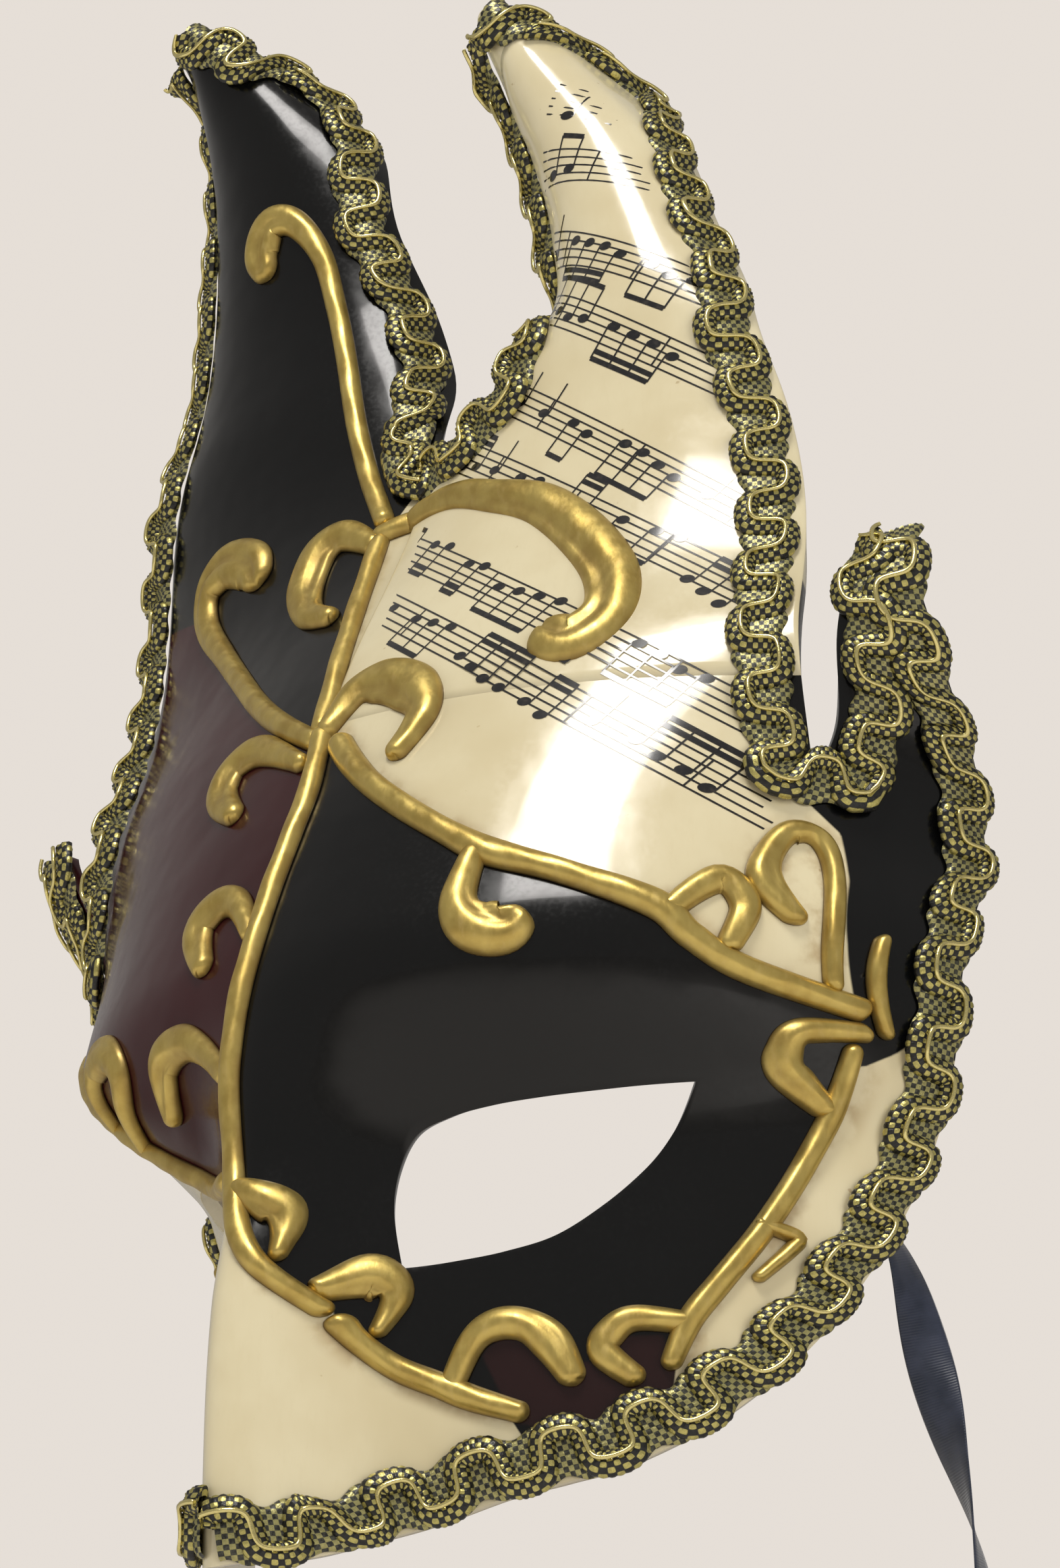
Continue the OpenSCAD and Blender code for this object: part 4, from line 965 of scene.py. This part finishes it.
# %% Braid
PERIOD = 10.8
HALF_BRAID, TIP_SHARE, TIP_RUN = 4.5, 0.35, 16
BAND_W, BAND_AMPLITUDE, BAND_LOOP = 3.2, 3.15, 0.42
WIRE_R, WIRE_H, WIRE_AMPLITUDE, WIRE_LOOP = 0.32, 2.22, 2.6, 0.4
GROUND_H, BAND_H, LIFT = 1.0, 2.1, 0.35
BAND_MIDDLE, BAND_UNDER = 0.7, 0.6
STITCH = 0.66
HINGE = 3.5


def braid_path(edge, side, bare, tips):
    """The edge line moved inwards by half the braid and a bare margin; less of it at a horn's tip."""
    edge = np.array(edge, float)
    right = side * frame_along(edge)
    far = np.concatenate([[0], np.cumsum(np.linalg.norm(np.diff(edge, axis=0), axis=1))])
    t = ease(0.25, 0.75, np.linspace(0, 1, len(edge)))
    inset = HALF_BRAID + bare[0] * (1 - t) + bare[1] * t
    for is_tip, away in zip(tips, (far, far[-1] - far)):
        if is_tip:
            inset *= TIP_SHARE + (1 - TIP_SHARE) * ease(0, TIP_RUN, away)
    return np.stack(walk(edge[:, 0], edge[:, 1], right[:, 0], right[:, 1], inset), -1)


def winding(length, amplitude, loop, step, phase):
    """Centre line (s, v) of the winding, its unit normal and the way along it, every step mm or so."""
    f = np.linspace(0, 2 * math.pi * length / PERIOD, max(40, int(length * 1.75 / step))) + phase
    s = PERIOD / (2 * math.pi) * (f - phase - loop * (np.sin(2 * f) - math.sin(2 * phase)))
    v = amplitude * (np.sin(f) + 0.06 * np.sin(3 * f))
    d = np.stack([np.gradient(s), np.gradient(v)], -1)
    d /= np.linalg.norm(d, axis=1, keepdims=True)
    travelled = np.concatenate([[0], np.cumsum(np.hypot(np.diff(s), np.diff(v)))])
    return s, v, np.stack([-d[:, 1], d[:, 0]], -1), travelled


def braid(name, edge, side, bare, phase=0.0, stop=1.0, tips=(True, True), flat=(0.0, 0.0, 0.5)):
    """One length of braid in one piece, up to the share stop of its edge.

    flat says how far the braid stays flat over a rolled edge instead of following it, 0 to 1: at its
    start, at its end, and where along it the one gives way to the other.
    """
    path = braid_path(edge, side, bare, tips)
    path = path[: int(math.ceil(stop * len(path)))]
    smooth = np.array([1, 2, 3, 2, 1]) / 9
    lead = np.pad(path, ((2, 2), (0, 0)), mode="edge")
    inner = np.stack([np.convolve(lead[:, k], smooth, "valid") for k in range(2)], -1)
    path = np.concatenate([path[:1], inner[1:-1], path[-1:]])
    solid = on_skin(path[:, 0], path[:, 1])
    far = np.concatenate([[0], np.cumsum(np.linalg.norm(np.diff(solid, axis=0), axis=1))])
    length = far[-1]
    right_of = frame_along(path)

    def wrap(s, v, h):
        """Lays points s along, v across and h above the braid's line on the shell.

        The flat place is on a plane through the shell at HINGE mm from the line, on its inner side.
        """
        s, v, h = np.broadcast_arrays(np.clip(s, 0, length), v, h)
        x, z = np.interp(s, far, path[:, 0]), np.interp(s, far, path[:, 1])
        rx, rz = np.interp(s, far, right_of[:, 0]), np.interp(s, far, right_of[:, 1])
        k = np.hypot(rx, rz)
        rx, rz = rx / k, rz / k
        wrapped = on_skin(*walk(x, z, rx, rz, v), h)
        stiff = flat[0] + (flat[1] - flat[0]) * ease(flat[2] - 0.08, flat[2] + 0.08, s / length)
        hinge = np.full_like(v, HINGE * side)
        base_x, base_z = walk(x, z, rx, rz, hinge)
        base, above = on_skin(base_x, base_z, 0 * v), on_skin(base_x, base_z, 0 * v + 1)
        near = on_skin(*walk(base_x, base_z, rx, rz, 0 * v - 0.5 * side), 0 * v)
        out = (base - near) * 2 * side
        out[..., 1] *= 0.5
        out /= np.linalg.norm(out, axis=-1, keepdims=True)
        plane = base + out * (v - hinge)[..., None] + (above - base) * h[..., None]
        return wrapped + (plane - wrapped) * stiff[..., None]

    points, faces, kinds, uvs, at = [], [], [], [], 0

    def add(grid, uv, kind, closed):
        """Adds a grid of the braid with its UV map and the number of its material."""
        nonlocal at
        rows, cols = grid.shape[:2]
        made = grid_quads(rows, cols, closed, at)
        points.append(grid.reshape(-1, 3))
        faces.append(made)
        kinds.append(np.full(len(made), kind))
        uvs.append(np.stack(np.broadcast_arrays(*uv), -1).reshape(-1, 2))
        at += rows * cols

    # ground: a low band with a dome at each stitch
    s = np.arange(0.3, length - 0.3, 0.3)
    q = np.linspace(-1, 1, 23)
    reach = 3.5 + 0.5 * np.sin(2 * math.pi * s / PERIOD * 2 + 1.2)
    top = GROUND_H * np.clip(1 - abs(q) ** 4, 0, 1)[None] ** 0.5
    v = reach[:, None] * q[None]
    stitch = abs(np.sin(math.pi * s / STITCH))[:, None] * abs(np.sin(math.pi * v / STITCH))
    grid = wrap(s[:, None], v, LIFT + top * (0.75 + 0.3 * stitch))
    add(grid, (s[:, None] / STITCH, v / STITCH), 1, False)
    # band: nearly five rows of stitches across
    s, v, normal, travelled = winding(length, BAND_AMPLITUDE, BAND_LOOP, 0.2, phase)
    angle = np.linspace(0, 2 * math.pi, 22, endpoint=False)
    q, up = np.cos(angle), np.sin(angle)
    across = BAND_W / 2 * q
    rows_of = across / STITCH
    stitch = abs(np.sin(math.pi * travelled / STITCH))[:, None] * abs(np.sin(math.pi * rows_of))[None]
    h = LIFT + BAND_MIDDLE + np.where(up > 0, BAND_H - BAND_MIDDLE, BAND_UNDER) * up[None] * 0.86
    h = h + 0.3 * stitch * np.clip(up, 0, 1)[None] ** 0.5
    sideways = across[None] * (1 + 0.1 * stitch)
    grid = wrap(s[:, None] + normal[:, :1] * sideways, v[:, None] + normal[:, 1:] * sideways, h)
    add(grid[:, ::-1], (travelled[:, None] / STITCH, rows_of[None, ::-1]), 0, True)
    # wire on top
    s, v, normal, travelled = winding(length, WIRE_AMPLITUDE, WIRE_LOOP, 0.35, phase)
    angle = np.linspace(0, 2 * math.pi, 7, endpoint=False)
    over = LIFT + WIRE_H + 0.45 * abs(v / WIRE_AMPLITUDE) ** 3
    sideways = WIRE_R * np.cos(angle)[None]
    grid = wrap(s[:, None] + normal[:, :1] * sideways, v[:, None] + normal[:, 1:] * sideways,
                over[:, None] + WIRE_R * np.sin(angle)[None])
    add(grid[:, ::-1], (travelled[:, None], angle[None]), 2, True)
    piece = make_piece(name + "_gimp", np.concatenate(points), np.concatenate(faces)[:, ::-1],
                       [band_thread, ground_thread, gold_wire], [name], "gimp_braid",
                       uv=np.concatenate(uvs), faces_of=np.concatenate(kinds))
    print(name, round(length), "mm", triangles(piece), "triangles")
    return piece


def joined(*lines):
    """Lines end to end, without their shared points."""
    return np.concatenate([lines[0]] + [line[1:] for line in lines[1:]])


def rim_edge(small):
    """From a side horn's tip down the side of the face and along its lower edge to the nose."""
    return joined(sampled(small, 60)[::-1], sampled(SIDE_RIM, 30)[::-1], sampled(LOWER_EDGE, 240)[::-1])


def valley_edge(tall, small):
    """From a tall horn's tip down to the side valley and up to the side horn's tip."""
    return joined(sampled(tall, 240)[::-1], sampled(small, 80))


BARE, CLOSE, OVER = 2.0, 0.6, -1.0
RIM_END = 0.99
left_rim_edge = mirrored(rim_edge(mirrored(LEFT_SMALL_OUT)))
braid("braid_centre_valley", joined(sampled(LEFT_IN, 200)[::-1], sampled(RIGHT_IN, 200)), 1, (BARE, CLOSE),
      flat=(0.0, 0.9, 0.52))
braid("braid_right_valley", valley_edge(RIGHT_OUT, RIGHT_SMALL_IN), 1, (BARE, CLOSE), 1.0)
braid("braid_left_valley", valley_edge(LEFT_OUT, LEFT_SMALL_IN), -1, (CLOSE, CLOSE), 2.0,
      flat=(0.9, 0.0, 0.76))
braid("braid_right_rim", rim_edge(RIGHT_SMALL_OUT), 1, (OVER, OVER), 0.5, RIM_END, (True, False))
braid("braid_left_rim", left_rim_edge, -1, (CLOSE, CLOSE), 1.5, RIM_END, (True, False))

# %% [markdown]
# ## Fixing patches
# Two pieces of felted cloth hold ribbon ends inside the shell, one at each side.  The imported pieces
# have the right shape, so they only get their finish.

# %% Patches
r = Recipe("patch_felt")
fuzz = r.noise(r.place(2.4), 5.0, rough=0.7)
r.finish(Base_Color=r.mix(fuzz, (0.42, 0.36, 0.27), (0.62, 0.56, 0.45)), Roughness=0.92, Sheen_Weight=0.3,
         Normal=r.bump(fuzz, 0.7, 0.3))
for name in ("ribbon_patch_right", "ribbon_patch_left"):
    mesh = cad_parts[name].data
    mesh.materials.clear()
    mesh.materials.append(r.material)
print("patches finished")

# %% [markdown]
# ## Stage
# A pale floor and a pale room with three large soft lights.  Only the key light shows in the gloss, so
# that the lacquer stays quiet and the gilding stays warm.

# %% Stage and lights
FLOOR_HALF, FLOOR_DROP = 3.0, 0.05
CORNERS = ((-1, -1), (1, -1), (1, 1), (-1, 1))
r = Recipe("stage_pale")
soft_noise = r.noise(r.place(0.004), 1.0)
r.finish(Base_Color=r.mix(soft_noise, (0.78, 0.74, 0.7), (0.8, 0.765, 0.72)), Roughness=0.85)
floor_z = float(cad_low.z) - FLOOR_DROP
floor_mesh = bpy.data.meshes.new("floor")
floor_mesh.from_pydata([(FLOOR_HALF * x, FLOOR_HALF * y, floor_z) for x, y in CORNERS], [], [range(4)])
floor_mesh.materials.append(r.material)
floor = bpy.data.objects.new("floor", floor_mesh)
scene.collection.objects.link(floor)

world = bpy.data.worlds.new("room")
scene.world = world
world.use_nodes = True
nodes, links = world.node_tree.nodes, world.node_tree.links
backdrop = nodes["Background"]
backdrop.inputs["Color"].default_value = (0.78, 0.745, 0.705, 1)
backdrop.inputs["Strength"].default_value = 0.42
wall_seen = nodes.new("ShaderNodeBackground")
wall_seen.inputs["Color"].default_value = (0.79, 0.735, 0.68, 1)
wall_seen.inputs["Strength"].default_value = 1.0
rays = nodes.new("ShaderNodeLightPath")
choose = nodes.new("ShaderNodeMixShader")
links.new(rays.outputs["Is Camera Ray"], choose.inputs[0])
links.new(backdrop.outputs[0], choose.inputs[1])
links.new(wall_seen.outputs[0], choose.inputs[2])
links.new(choose.outputs[0], nodes["World Output"].inputs["Surface"])


MASK_MIDDLE = (0, -0.03, 0.06)


def soft_light(name, at, size, watts, colour=(1, 1, 1), in_gloss=False):
    """A square area light aimed at the middle of the mask; in_gloss says if its reflection shows."""
    lamp = bpy.data.lights.new(name, "AREA")
    lamp.size = size
    lamp.energy = watts
    lamp.color = colour
    holder = bpy.data.objects.new(name, lamp)
    holder.location = at
    holder.rotation_mode = "QUATERNION"
    holder.rotation_quaternion = (Vector(MASK_MIDDLE) - Vector(at)).to_track_quat("-Z", "Y")
    holder.visible_glossy = in_gloss
    scene.collection.objects.link(holder)


soft_light("key", (0.35, -0.75, 1.0), 0.38, 8.5, (1.0, 0.97, 0.93), in_gloss=True)
soft_light("fill", (-0.9, -0.6, 0.25), 0.8, 5.5, (0.96, 0.98, 1.0))
soft_light("side", (0.95, -0.35, 0.1), 0.6, 4.5)

# %% Sizes and the end
print("cad box", [round(v, 4) for v in (cad_high - cad_low)])
